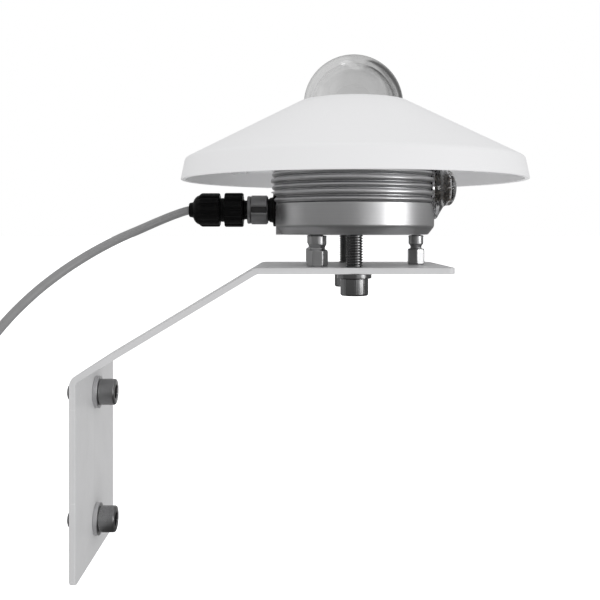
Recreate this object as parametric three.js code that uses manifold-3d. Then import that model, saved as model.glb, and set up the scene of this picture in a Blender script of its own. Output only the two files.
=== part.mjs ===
// A pyranometer (solar radiation sensor) on the bent plate that holds it out from a mast.
// Millimetres, +Z up. The origin is on the back face of the plate's upright leg, midway between
// its two screws. +X runs out along the arm to the instrument, and the cable leaves towards -X.
import * as THREE from "three";
import { mergeVertices } from "three/addons/utils/BufferGeometryUtils.js";
import Module from "manifold-3d";

const wasm = await Module();
wasm.setup();

// ---- driving dimensions ----
const GAP = 0.3; // clearance between pieces that touch
const ROUND = 36; // sides of a large turned piece
const MEDIUM = 28; // sides of a ring or a disc inside it
const FINE = 18; // sides of a small turned piece
const COARSE = 12; // sides of a pin or a small hole

// bent plate
const SHEET = 3; // sheet thickness
const PLATE_WIDTH = 80;
const PLATE_TOP = 96.2; // upper face of the level end
const PLATE_REACH = 177.1; // far end of the level end
const PLATE_FOOT = -50; // lower end of the upright leg
const ARM_ANGLE = THREE.MathUtils.degToRad(31);
const ARM_TURN_X = 85.7; // where the level end turns down into the arm
const BEND_RADIUS = 4.5; // at mid thickness
const BRACKET_SCREW_SPAN = 64;

// M8 socket screws and their washers
const M8_RADIUS = 4;
const M8_HEAD_RADIUS = 6.5;
const M8_HEAD_HEIGHT = 8;
const M8_KEY_FLATS = 6.4;
const M8_KEY_DEPTH = 4.6;
const M8_HOLE_RADIUS = 4.5;
const WASHER_RADIUS = 8;
const WASHER_HEIGHT = 1.6;
const WASHER_BORE = 4.3;
const BRACKET_SCREW_LENGTH = 16;
const BODY_SCREW_LENGTH = 30;

// nylon bushes that keep the body screws off the plate
const BUSH_HOLE_RADIUS = 6;
const BUSH_STAND = 0.3; // above the plate

// instrument body, in its own frame: axis on Z, base face at zero
const AXIS_X = 132.6;
const BODY_BASE = PLATE_TOP + 15; // the feet's height
const BODY_RADIUS = 40.3;
const CHAMFER_HEIGHT = 4;
const CHAMFER_DEPTH = 3.1;
const FIN_COUNT = 10;
const FIN_START = 15.3;
const FIN_PITCH = 3.25;
const FIN_TIP = 41.5;
const FIN_ROOT = 39.8;
const SHOULDER = 49; // the step that the shield stands on
const TOWER_RADIUS = 29.8;
const DECK = 56.7; // the face that carries the domes
const CAVITY_RADIUS = 21;
const CAVITY_TOP = 50;
const SINK_BORE = 9; // hole from the cavity up through the deck
const SCREW_X = -1.5;
const SCREW_SPAN = 65; // the two body screws, across the plate

// base cover
const COVER_RADIUS = 26.5;
const COVER_HEIGHT = 2.8;
const GASKET_HEIGHT = 0.8;
const COVER_SCREW_CIRCLE = 23.8;
const COVER_SCREW_COUNT = 3;
const COVER_SCREW_HOLE = 1.7;

// circuit board, hung under the cavity's ceiling
const BOARD_RADIUS = 19.5;
const BOARD_TOP = 32;
const BOARD_THICKNESS = 1.6;
const SPACER_CIRCLE = 15.5;
const SPACER_COUNT = 3;

// domes and sensor
const DOME_CENTRE = 65.3;
const OUTER_DOME_RADIUS = 25;
const OUTER_GLASS = 2;
const INNER_DOME_RADIUS = 21;
const INNER_GLASS = 1.4;
const DOME_RING_RADIUS = 29.5;
const DOME_RING_HEIGHT = 5;
const SEAL_HEIGHT = 0.8;
const SENSOR_DISC_RADIUS = 17.5;
const SENSOR_DISC_TOP = DECK + GAP + 4.5;
const ABSORBER_RADIUS = 10;

// bubble level, on the shoulder
const LEVEL_CIRCLE = 34.9;
const LEVEL_ANGLE = -Math.PI / 3;
const LEVEL_RADIUS = 4.4;

// sun shield
const SHIELD_TOP = 66.6;
const SHIELD_BREAK = 37.4;
const SHIELD_RIM = 27;
const SHIELD_TOP_RADIUS = 27;
const SHIELD_BREAK_RADIUS = 84;
const SHIELD_RIM_RADIUS = 86.3;
const SHIELD_WALL = 2.5;
const SHIELD_HOLE = 25.6;
const LEG_COUNT = 3;
const LEG_INNER = 30.4;
const LEG_OUTER = 32.9;
const LEG_HALF_ANGLE = THREE.MathUtils.degToRad(18);

// connector, on an axis that runs along -X
const PORT_HEIGHT = 12.4;
const PORT_FACE = -38.6; // the flat that the socket is screwed against
const PORT_HALF_WIDTH = 11;
const GRIP_COUNT = 12;
const PIN_COUNT = 4;
const PIN_CIRCLE = 2.2;

// desiccant holder, on an axis that runs along +X
const HOLDER_HEIGHT = 23.5;
const HOLDER_FACE = 37;
const HOLDER_RADIUS = 16.3;
const NECK_BORE = 9.3; // chamber that the cap's neck goes into
const NECK_END = 27;
const CAP_SHOULDER = 45.4;
const KNOB_RADIUS = 9;
const KNOB_START = 47.6;
const KNOB_END = 51.8;
const CAP_WALL = 1.8;

// feet
const FOOT_X = -18.6;
const FOOT_Y = 25.2;
const FIXED_FOOT_X = 31.6;
const FOOT_DROP = 15; // from the base face down to the plate

// cable
const CABLE_RADIUS = 2.1;
const CABLE_SIDES = 10;
const CABLE_STEPS = 28;
const COIL_CENTRE = new THREE.Vector3(-56, -66, -30);
const COIL_RADIUS = 25.2; // at mid bundle
const COIL_WIDTH = 25.8; // bundle, along X
const COIL_DEPTH = 21.6; // bundle, across the ring
const COIL_CORNER = 4;
const TIE_WIDTH = 4.6;
const TIE_THICKNESS = 1.2;
const LEAD_COUNT = 4;

// ---- colours and finishes ----
const finish = (color, roughness, metalness) => ({ color, roughness, metalness });
const PAINT = finish(0xcfd0d1, 0.55, 0.0);
const ALUMINIUM = finish(0x9c9d9f, 0.38, 0.9);
const STEEL = finish(0x8f8f90, 0.3, 1.0);
const WHITE_PLASTIC = finish(0xf2f3f3, 0.45, 0.0);
const NYLON = finish(0xe4e3de, 0.6, 0.0);
const BLACK_PLASTIC = finish(0x0c0c0d, 0.45, 0.0);
const SMOKED_PLASTIC = finish(0x2f2c2a, 0.2, 0.0);
const GLASS = finish(0xe6ecef, 0.05, 0.0);
const RUBBER = finish(0x161616, 0.8, 0.0);
const ABSORBER = finish(0x060606, 0.95, 0.0);
const BOARD_GREEN = finish(0x1d5a38, 0.5, 0.0);
const SILICA = finish(0xc98a3c, 0.6, 0.0);
const CABLE_GREY = finish(0x7d7e80, 0.6, 0.0);

// ---- building tools ----
function closed(geometry) {
  const bare = geometry.index ? geometry.toNonIndexed() : geometry.clone();
  bare.deleteAttribute("normal");
  bare.deleteAttribute("uv");
  return mergeVertices(bare, 1e-4);
}

function solid(geometry) {
  const merged = closed(geometry);
  const mesh = new wasm.Mesh({
    numProp: 3,
    vertProperties: new Float32Array(merged.attributes.position.array),
    triVerts: new Uint32Array(merged.index.array),
  });
  return new wasm.Manifold(mesh);
}

function geometryOf(manifold) {
  const mesh = manifold.getMesh();
  const geometry = new THREE.BufferGeometry();
  geometry.setAttribute("position", new THREE.BufferAttribute(mesh.vertProperties, 3));
  geometry.setIndex(new THREE.BufferAttribute(mesh.triVerts, 1));
  return geometry;
}

// A profile of [radius, height] pairs turned about Z.
function turned(profile, sides = ROUND) {
  const points = profile.map(([r, z]) => new THREE.Vector2(r, z));
  if (THREE.ShapeUtils.area(points) < 0) points.reverse();
  const first = points[0];
  if (first.x > 0 || points.at(-1).x > 0) points.push(first.clone());
  return new THREE.LatheGeometry(points, sides).rotateX(Math.PI / 2);
}

// The same about X: [radius, distance along +X] pairs.
function turnedAlongX(profile, sides = FINE) {
  return turned(profile, sides).rotateY(Math.PI / 2);
}

function ring(inner, outer, low, high, sides = ROUND) {
  return turned([[inner, low], [outer, low], [outer, high], [inner, high]], sides);
}

function rod(radius, low, high, sides = FINE) {
  return turned([[0, low], [radius, low], [radius, high], [0, high]], sides);
}

function rodAlongX(radius, low, high, sides = FINE) {
  return turnedAlongX([[0, low], [radius, low], [radius, high], [0, high]], sides);
}

function block(x0, x1, y0, y1, z0, z1) {
  const box = new THREE.BoxGeometry(x1 - x0, y1 - y0, z1 - z0);
  return box.translate((x0 + x1) / 2, (y0 + y1) / 2, (z0 + z1) / 2);
}

// An outline in the XY plane raised along Z.
function raised(points, low, high) {
  const shape = new THREE.Shape(points);
  const options = { depth: high - low, bevelEnabled: false, steps: 1, curveSegments: 8 };
  return new THREE.ExtrudeGeometry(shape, options).translate(0, 0, low);
}

function hexagon(acrossFlats, turn = 0) {
  const corner = acrossFlats / Math.sqrt(3);
  const points = [];
  for (let i = 0; i < 6; i += 1) {
    const angle = turn + (i * Math.PI) / 3;
    points.push(new THREE.Vector2(corner * Math.cos(angle), corner * Math.sin(angle)));
  }
  return points;
}

function arc(centre, radius, from, to, steps) {
  const points = [];
  for (let i = 0; i <= steps; i += 1) {
    const angle = from + ((to - from) * i) / steps;
    points.push([radius * Math.cos(angle), centre + radius * Math.sin(angle)]);
  }
  return points;
}

const root = new THREE.Group();

function add(name, geometry, look, parent = root) {
  const mesh = new THREE.Mesh(geometry, new THREE.MeshStandardMaterial(look));
  mesh.name = name;
  parent.add(mesh);
  return mesh;
}

// ---- the bent plate ----
function bentPlate() {
  const half = SHEET / 2;
  const level = PLATE_TOP - half;
  const lean = Math.PI / 2 - ARM_ANGLE; // the arm's turn out of the upright
  const lowBend = new THREE.Vector2(half, level - (ARM_TURN_X - half) * Math.tan(ARM_ANGLE));
  const lowCut = BEND_RADIUS * Math.tan(lean / 2);
  const highCut = BEND_RADIUS * Math.tan(ARM_ANGLE / 2);
  const path = new THREE.Path();
  path.moveTo(half, PLATE_FOOT);
  path.lineTo(half, lowBend.y - lowCut);
  path.absarc(half + BEND_RADIUS, lowBend.y - lowCut, BEND_RADIUS, Math.PI, Math.PI - lean, true);
  path.lineTo(
    ARM_TURN_X - highCut * Math.cos(ARM_ANGLE),
    level - highCut * Math.sin(ARM_ANGLE),
  );
  path.absarc(
    ARM_TURN_X + highCut,
    level - BEND_RADIUS,
    BEND_RADIUS,
    Math.PI / 2 + ARM_ANGLE,
    Math.PI / 2,
    true,
  );
  path.lineTo(PLATE_REACH, level);
  const line = path.getPoints(5);
  const upper = [];
  const lower = [];
  line.forEach((point, i) => {
    const before = line[Math.max(i - 1, 0)];
    const after = line[Math.min(i + 1, line.length - 1)];
    const along = after.clone().sub(before).normalize();
    const out = new THREE.Vector2(-along.y, along.x).multiplyScalar(half);
    upper.push(point.clone().add(out));
    lower.push(point.clone().sub(out));
  });
  const strip = raised([...lower, ...upper.reverse()], -PLATE_WIDTH / 2, PLATE_WIDTH / 2);
  let plate = solid(strip.rotateX(Math.PI / 2));
  for (const side of [-1, 1]) {
    const bush = rod(BUSH_HOLE_RADIUS, level - SHEET, level + SHEET);
    bush.translate(AXIS_X + SCREW_X, (side * SCREW_SPAN) / 2, 0);
    plate = plate.subtract(solid(bush));
    const hole = rodAlongX(M8_HOLE_RADIUS, -SHEET, 2 * SHEET);
    hole.translate(0, 0, (side * BRACKET_SCREW_SPAN) / 2);
    plate = plate.subtract(solid(hole));
  }
  return geometryOf(plate);
}

add("mounting_plate", bentPlate(), PAINT);

// ---- M8 socket screws: the head's underside at zero, the shank up +Z, the key in from below ----
function socketScrew(length) {
  const head = turned([
    [0, -M8_HEAD_HEIGHT],
    [M8_HEAD_RADIUS - 0.6, -M8_HEAD_HEIGHT],
    [M8_HEAD_RADIUS, 0.6 - M8_HEAD_HEIGHT],
    [M8_HEAD_RADIUS, 0],
    [M8_RADIUS, 0],
    [M8_RADIUS, length - 1],
    [M8_RADIUS - 1, length],
    [0, length],
  ], FINE);
  const key = raised(hexagon(M8_KEY_FLATS), -M8_HEAD_HEIGHT - 1, M8_KEY_DEPTH - M8_HEAD_HEIGHT);
  return geometryOf(solid(head).subtract(solid(key)));
}

const washer = () => ring(WASHER_BORE, WASHER_RADIUS, 0, WASHER_HEIGHT, FINE);

// the two screws that hold the plate to a mast, heads towards +X
for (const [place, side] of [["upper", 1], ["lower", -1]]) {
  const z = (side * BRACKET_SCREW_SPAN) / 2;
  const washerMesh = add(`${place}_bracket_washer`, washer(), STEEL);
  washerMesh.position.set(SHEET + GAP, 0, z);
  washerMesh.rotation.y = Math.PI / 2;
  const screw = add(`${place}_bracket_screw`, socketScrew(BRACKET_SCREW_LENGTH), STEEL);
  screw.position.set(SHEET + WASHER_HEIGHT + 2 * GAP, 0, z);
  screw.rotation.y = -Math.PI / 2;
}

// the two screws that hold the body to the plate, each through a nylon bush
for (const [place, side] of [["front", -1], ["rear", 1]]) {
  const x = AXIS_X + SCREW_X;
  const y = (side * SCREW_SPAN) / 2;
  const under = PLATE_TOP - SHEET;
  const barrel = BUSH_HOLE_RADIUS - GAP;
  const bush = turned([
    [WASHER_BORE, under],
    [barrel, under],
    [barrel, PLATE_TOP + BUSH_STAND],
    [WASHER_BORE, PLATE_TOP + BUSH_STAND],
  ], FINE);
  add(`${place}_insulating_bush`, bush, NYLON).position.set(x, y, 0);
  add(`${place}_body_washer`, washer(), STEEL).position.set(x, y, under - GAP - WASHER_HEIGHT);
  const seat = under - 2 * GAP - WASHER_HEIGHT;
  add(`${place}_body_screw`, socketScrew(BODY_SCREW_LENGTH), STEEL).position.set(x, y, seat);
}

// ---- the instrument ----
const instrument = new THREE.Group();
instrument.position.set(AXIS_X, 0, BODY_BASE);
root.add(instrument);

const RECESS_HEIGHT = COVER_HEIGHT + GASKET_HEIGHT + 2 * GAP;
const RECESS_RADIUS = COVER_RADIUS + GAP;

function bodyProfile() {
  const fins = [];
  for (let i = 0; i < FIN_COUNT; i += 1) {
    const z = FIN_START + i * FIN_PITCH;
    fins.push([FIN_ROOT, z], [FIN_TIP, z + FIN_PITCH / 2]);
  }
  const finTop = FIN_START + FIN_COUNT * FIN_PITCH;
  return [
    [RECESS_RADIUS, 0],
    [BODY_RADIUS - CHAMFER_DEPTH, 0],
    [BODY_RADIUS, CHAMFER_HEIGHT],
    [BODY_RADIUS, FIN_START - 0.2],
    ...fins,
    [FIN_ROOT, finTop],
    [BODY_RADIUS, finTop + 0.3],
    [BODY_RADIUS - 1, SHOULDER],
    [TOWER_RADIUS, SHOULDER],
    [TOWER_RADIUS, DECK],
    [SINK_BORE, DECK],
    [SINK_BORE, CAVITY_TOP],
    [CAVITY_RADIUS, CAVITY_TOP],
    [CAVITY_RADIUS, RECESS_HEIGHT],
    [RECESS_RADIUS, RECESS_HEIGHT],
  ];
}

function blindHole(radius, depth, x, y) {
  return solid(rod(radius, -1, depth, COARSE).translate(x, y, 0));
}

const coverScrewAngle = (i) => Math.PI / 2 + (i * 2 * Math.PI) / COVER_SCREW_COUNT;

function onCircle(radius, angle) {
  return [radius * Math.cos(angle), radius * Math.sin(angle)];
}

function bodyHousing() {
  let body = solid(turned(bodyProfile()));
  // the flat for the cable socket, carried straight down over the chamfer
  const wide = PORT_HALF_WIDTH;
  body = body.subtract(solid(block(-60, PORT_FACE, -wide, wide, -1, 21)));
  body = body.add(solid(block(PORT_FACE, -30, -wide, wide, 0, CHAMFER_HEIGHT + 0.5)));
  // the spot face, chamber and air way of the desiccant holder
  const spot = rodAlongX(HOLDER_RADIUS + 0.7, HOLDER_FACE, 2 * HOLDER_FACE, MEDIUM);
  const chamber = rodAlongX(NECK_BORE, NECK_END, HOLDER_FACE + 1);
  const airway = rodAlongX(1.5, CAVITY_RADIUS - 3, NECK_END + 1, COARSE);
  for (const cut of [spot, chamber, airway]) {
    body = body.subtract(solid(cut.translate(0, 0, HOLDER_HEIGHT)));
  }
  // the socket's hole
  const portHole = rodAlongX(5.3, -60, 3 - CAVITY_RADIUS);
  body = body.subtract(solid(portHole.translate(0, 0, PORT_HEIGHT)));
  // tapped holes in the base
  for (const side of [-1, 1]) {
    body = body.subtract(blindHole(M8_RADIUS + 0.25, 13, SCREW_X, (side * SCREW_SPAN) / 2));
    body = body.subtract(blindHole(3.3, 10, FOOT_X, side * FOOT_Y));
  }
  body = body.subtract(blindHole(2.8, 9, FIXED_FOOT_X, 0));
  for (let i = 0; i < COVER_SCREW_COUNT; i += 1) {
    const [x, y] = onCircle(COVER_SCREW_CIRCLE, coverScrewAngle(i));
    body = body.subtract(blindHole(COVER_SCREW_HOLE, 9.5, x, y));
  }
  return geometryOf(body);
}

add("body_housing", bodyHousing(), ALUMINIUM, instrument);

// base cover, gasket and their screws
function piercedDisc(blank) {
  let disc = solid(blank);
  for (let i = 0; i < COVER_SCREW_COUNT; i += 1) {
    const [x, y] = onCircle(COVER_SCREW_CIRCLE, coverScrewAngle(i));
    disc = disc.subtract(blindHole(COVER_SCREW_HOLE, 9, x, y));
  }
  return disc;
}

function baseCover() {
  let cover = piercedDisc(rod(COVER_RADIUS, 0, COVER_HEIGHT, ROUND));
  for (let i = 0; i < COVER_SCREW_COUNT; i += 1) {
    const [x, y] = onCircle(COVER_SCREW_CIRCLE, coverScrewAngle(i));
    cover = cover.subtract(blindHole(2.5, 1.6, x, y));
  }
  return geometryOf(cover);
}

const gasketLow = COVER_HEIGHT + GAP;
const gasketBlank = ring(CAVITY_RADIUS, COVER_RADIUS, gasketLow, gasketLow + GASKET_HEIGHT);
add("base_cover", baseCover(), ALUMINIUM, instrument);
add("base_gasket", geometryOf(piercedDisc(gasketBlank)), RUBBER, instrument);
for (let i = 0; i < COVER_SCREW_COUNT; i += 1) {
  const [x, y] = onCircle(COVER_SCREW_CIRCLE, coverScrewAngle(i));
  const screw = turned([[0, 0.1], [2.2, 0.1], [2.2, 1.3], [1.4, 1.3], [1.4, 8.5], [0, 8.5]], COARSE);
  add(`base_cover_screw_${i + 1}`, screw, STEEL, instrument).position.set(x, y, 0);
}

// circuit board with its parts underneath, and its spacers
function circuitBoard() {
  const top = BOARD_TOP - 0.1;
  const board = solid(rod(BOARD_RADIUS, BOARD_TOP - BOARD_THICKNESS, BOARD_TOP, MEDIUM));
  const chip = solid(block(-4, 4, -7, -1, BOARD_TOP - 3.4, top));
  const terminal = solid(block(-14, -6, -6, 6, BOARD_TOP - 9, top));
  const capacitor = solid(rod(2.5, BOARD_TOP - 8, top, COARSE).translate(6, 6, 0));
  return geometryOf(board.add(chip).add(terminal).add(capacitor));
}
add("circuit_board", circuitBoard(), BOARD_GREEN, instrument);
for (let i = 0; i < SPACER_COUNT; i += 1) {
  const [x, y] = onCircle(SPACER_CIRCLE, Math.PI / 6 + (i * 2 * Math.PI) / SPACER_COUNT);
  const spacer = rod(2, BOARD_TOP + GAP, CAVITY_TOP - GAP, COARSE);
  add(`board_spacer_${i + 1}`, spacer, NYLON, instrument).position.set(x, y, 0);
}

// sensor: a heat sink let into the deck, with the black absorber on it
const sinkRadius = SINK_BORE - GAP;
const heatSink = turned([
  [0, CAVITY_TOP - 4],
  [sinkRadius, CAVITY_TOP - 4],
  [sinkRadius, DECK + GAP],
  [SENSOR_DISC_RADIUS, DECK + GAP],
  [SENSOR_DISC_RADIUS, SENSOR_DISC_TOP - 1],
  [SENSOR_DISC_RADIUS - 1, SENSOR_DISC_TOP],
  [0, SENSOR_DISC_TOP],
], MEDIUM);
add("sensor_heat_sink", heatSink, WHITE_PLASTIC, instrument);
const absorberLow = SENSOR_DISC_TOP + GAP;
add("absorber_disc", rod(ABSORBER_RADIUS, absorberLow, absorberLow + 1, MEDIUM), ABSORBER, instrument);

// two hemispherical domes, each with a short straight skirt
function dome(radius, glass, foot) {
  const outer = arc(DOME_CENTRE, radius, 0, Math.PI / 2, 6);
  const inner = arc(DOME_CENTRE, radius - glass, Math.PI / 2, 0, 4);
  outer[outer.length - 1][0] = 0;
  inner[0][0] = 0;
  return turned([...inner, [radius - glass, foot], [radius, foot], ...outer], MEDIUM);
}
const sealTop = DECK + GAP + SEAL_HEIGHT;
add("outer_dome", dome(OUTER_DOME_RADIUS, OUTER_GLASS, sealTop + GAP), GLASS, instrument);
add("inner_dome", dome(INNER_DOME_RADIUS, INNER_GLASS, DECK + GAP), GLASS, instrument);
const sealInner = OUTER_DOME_RADIUS - OUTER_GLASS - 0.1;
const domeSeal = ring(sealInner, OUTER_DOME_RADIUS + 0.1, DECK + GAP, sealTop, MEDIUM);
add("dome_seal", domeSeal, RUBBER, instrument);
const ringInner = OUTER_DOME_RADIUS + GAP + 0.1;
const domeRing = turned([
  [ringInner, DECK + GAP],
  [DOME_RING_RADIUS, DECK + GAP],
  [DOME_RING_RADIUS, DECK + DOME_RING_HEIGHT - 1],
  [DOME_RING_RADIUS - 1, DECK + DOME_RING_HEIGHT],
  [ringInner, DECK + DOME_RING_HEIGHT],
], MEDIUM);
add("dome_ring", domeRing, ALUMINIUM, instrument);

// bubble level on the shoulder
const level = new THREE.Group();
const [levelX, levelY] = onCircle(LEVEL_CIRCLE, LEVEL_ANGLE);
level.position.set(levelX, levelY, SHOULDER + GAP);
instrument.add(level);
const cupInner = LEVEL_RADIUS - 0.7;
const vial = cupInner - GAP;
const levelCup = turned([
  [0, 0],
  [LEVEL_RADIUS, 0],
  [LEVEL_RADIUS, 6],
  [cupInner, 6],
  [cupInner, 1.2],
  [0, 1.2],
], FINE);
add("level_cup", levelCup, BLACK_PLASTIC, level);
const levelVial = turned([[0, 1.5], [vial, 1.5], [vial, 5.4], [2, 5.9], [0, 6.1]], FINE);
add("level_vial", levelVial, GLASS, level);

// ---- sun shield: a cone with a turned-down rim, standing on three legs ----
const SHIELD_SLOPE = Math.atan2(
  SHIELD_TOP - SHIELD_BREAK,
  SHIELD_BREAK_RADIUS - SHIELD_TOP_RADIUS,
);
function sunShield() {
  const drop = SHIELD_WALL / Math.cos(SHIELD_SLOPE); // the wall measured straight down
  const under = (r) => SHIELD_TOP - drop - (r - SHIELD_TOP_RADIUS) * Math.tan(SHIELD_SLOPE);
  const innerBreak = SHIELD_BREAK_RADIUS - SHIELD_WALL;
  const shell = turned([
    [SHIELD_HOLE, SHIELD_TOP - SHIELD_WALL],
    [SHIELD_TOP_RADIUS - 0.4, SHIELD_TOP - SHIELD_WALL],
    [innerBreak, under(innerBreak)],
    [SHIELD_RIM_RADIUS - SHIELD_WALL, SHIELD_RIM + 0.4],
    [SHIELD_RIM_RADIUS - SHIELD_WALL + 0.5, SHIELD_RIM],
    [SHIELD_RIM_RADIUS - 0.5, SHIELD_RIM],
    [SHIELD_RIM_RADIUS, SHIELD_RIM + 0.5],
    [SHIELD_BREAK_RADIUS, SHIELD_BREAK],
    [SHIELD_TOP_RADIUS, SHIELD_TOP],
    [SHIELD_HOLE, SHIELD_TOP],
  ], 54);
  let shield = solid(shell);
  for (let i = 0; i < LEG_COUNT; i += 1) {
    const turn = (i * 2 * Math.PI) / LEG_COUNT;
    const outline = [];
    for (const [radius, from, to] of [[LEG_INNER, -1, 1], [LEG_OUTER, 1, -1]]) {
      for (let k = 0; k <= 4; k += 1) {
        const angle = turn + LEG_HALF_ANGLE * (from + ((to - from) * k) / 4);
        outline.push(new THREE.Vector2(...onCircle(radius, angle)));
      }
    }
    shield = shield.add(solid(raised(outline.reverse(), SHOULDER + GAP, SHIELD_TOP - 4)));
  }
  return geometryOf(shield);
}
add("sun_shield", sunShield(), WHITE_PLASTIC, instrument);

// ---- desiccant holder: a smoked cap with a threaded neck, its seal and its silica gel ----
const holder = new THREE.Group();
holder.position.z = HOLDER_HEIGHT;
instrument.add(holder);
const SEAL_START = HOLDER_FACE + GAP;
const CAP_START = SEAL_START + 1 + GAP;
function capProfile() {
  const knob = [];
  const hollow = [];
  const hollowRadius = KNOB_RADIUS - CAP_WALL;
  const rise = KNOB_END - KNOB_START;
  for (let i = 0; i <= 4; i += 1) {
    const across = i === 4 ? 0 : Math.cos((i * Math.PI) / 8);
    const along = Math.sin((i * Math.PI) / 8);
    knob.push([KNOB_RADIUS * across, KNOB_START + rise * along]);
    hollow.unshift([hollowRadius * across, KNOB_START - 1 + (rise - 1) * along]);
  }
  return [
    ...hollow,
    [hollowRadius, NECK_END + 2],
    [KNOB_RADIUS, NECK_END + 2],
    [KNOB_RADIUS, CAP_START],
    [HOLDER_RADIUS, CAP_START],
    [HOLDER_RADIUS, CAP_SHOULDER - 3],
    [KNOB_RADIUS + 0.7, CAP_SHOULDER],
    ...knob,
  ];
}
add("desiccant_cap", turnedAlongX(capProfile(), MEDIUM), SMOKED_PLASTIC, holder);
const capSeal = ring(10.4, 12.2, SEAL_START, SEAL_START + 1, FINE).rotateY(Math.PI / 2);
add("desiccant_seal", capSeal, RUBBER, holder);
const silica = [[0, 30], [6.8, 30], [6.8, 46.2], [4.5, 48.4], [0, 49.2]];
add("silica_gel", turnedAlongX(silica), SILICA, holder);

// ---- cable connector, from the body outwards along -X ----
const port = new THREE.Group();
port.position.z = PORT_HEIGHT;
instrument.add(port);
const outwards = (profile) => profile.map(([r, x]) => [r, -x]);

const pinPlace = (i) => onCircle(PIN_CIRCLE, Math.PI / 4 + (i * 2 * Math.PI) / PIN_COUNT);

function pinnedSocket() {
  let socket = solid(turnedAlongX(outwards([
    [0, 24],
    [5, 24],
    [5, 38.9],
    [8.3, 38.9],
    [8.3, 40.2],
    [5.6, 40.2],
    [5.6, 48.5],
    [4.5, 48.5],
    [4.5, 41.5],
    [0, 41.5],
  ])));
  for (let i = 0; i < PIN_COUNT; i += 1) {
    const pin = rodAlongX(0.5, -47, -41, 8);
    socket = socket.add(solid(pin.translate(0, ...pinPlace(i))));
  }
  return geometryOf(socket);
}
add("cable_socket", pinnedSocket(), BLACK_PLASTIC, port);

// a sleeve's outline with grip ribs: up to the tip, along it and down into the valley
function ribbed(valley, tip, count) {
  const points = [];
  for (let i = 0; i < count; i += 1) {
    for (const [share, radius] of [[0, valley], [0.25, tip], [0.65, tip], [0.9, valley]]) {
      points.push(new THREE.Vector2(...onCircle(radius, ((i + share) * 2 * Math.PI) / count)));
    }
  }
  return points;
}

// ribs raised along Z, turned to run from -high to -low along X
function ribbedSleeve(valley, tip, count, low, high) {
  return solid(raised(ribbed(valley, tip, count), low, high).rotateY(-Math.PI / 2));
}

function boredAlongX(body, radius, low, high) {
  return body.subtract(solid(rodAlongX(radius, -high, -low)));
}

function couplingRing() {
  let ringBody = ribbedSleeve(6.95, 7.3, 18, 42.9, 53.2);
  ringBody = boredAlongX(ringBody, 5.9, 42, 51.6);
  ringBody = boredAlongX(ringBody, 5.1, 51, 54);
  return geometryOf(ringBody);
}
add("coupling_ring", couplingRing(), STEEL, port);

function plugBody() {
  let plug = solid(turnedAlongX(outwards([
    [0, 44],
    [4.2, 44],
    [4.2, 49],
    [5.5, 49],
    [5.5, 51.3],
    [4.8, 51.3],
    [4.8, 55.6],
    [7.2, 55.6],
    [7.2, 64.6],
    [5.9, 64.6],
    [5.9, 71],
    [0, 71],
  ])));
  plug = plug.add(ribbedSleeve(7.9, 8.65, GRIP_COUNT, 55.4, 64.6));
  plug = boredAlongX(plug, 2.6, 62, 72);
  for (let i = 0; i < PIN_COUNT; i += 1) {
    const hole = rodAlongX(0.85, -48, -43, 8);
    plug = plug.subtract(solid(hole.translate(0, ...pinPlace(i))));
  }
  return geometryOf(plug);
}
add("plug_body", plugBody(), BLACK_PLASTIC, port);

function glandNut() {
  let nut = solid(turnedAlongX(outwards([
    [0, 66.9],
    [7.7, 66.9],
    [7.7, 77.2],
    [6.9, 78.6],
    [5.2, 80.2],
    [3.6, 80.8],
    [3.4, 82.5],
    [0, 82.5],
  ])));
  nut = nut.add(ribbedSleeve(7.7, 8.45, GRIP_COUNT, 66.9, 76.7));
  nut = boredAlongX(nut, 6.2, 66, 71.6);
  nut = boredAlongX(nut, 4.8, 71, 78.6);
  nut = boredAlongX(nut, 2.8, 78, 84);
  return geometryOf(nut);
}
add("gland_nut", glandNut(), BLACK_PLASTIC, port);
const glandSeal = outwards([[2.4, 71.9], [4.5, 71.9], [4.5, 78.3], [2.4, 78.3]]);
add("gland_seal", turnedAlongX(glandSeal), RUBBER, port);

// ---- feet: a hexagon to turn, a waist, a collar and a threaded shank ----
function foot(flats, waist, collar, shank, shankTop, turn) {
  const low = GAP - FOOT_DROP;
  const hexTop = -7.1;
  const hex = solid(raised(hexagon(flats, turn), low, hexTop));
  const stem = solid(turned([
    [0, hexTop - 1],
    [waist, hexTop - 1],
    [waist, -4.8],
    [collar, -4.6],
    [collar, -GAP],
    [shank, -GAP],
    [shank, shankTop],
    [0, shankTop],
  ], FINE));
  return geometryOf(hex.add(stem));
}
for (const [place, side] of [["front", -1], ["rear", 1]]) {
  const mesh = add(`${place}_levelling_foot`, foot(9, 4.05, 4.4, 3, 9, 0), STEEL, instrument);
  mesh.position.set(FOOT_X, side * FOOT_Y, 0);
}
const fixedFoot = add("fixed_foot", foot(8, 3.2, 3.75, 2.5, 8, Math.PI / 6), STEEL, instrument);
fixedFoot.position.set(FIXED_FOOT_X, 0, 0);

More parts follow.
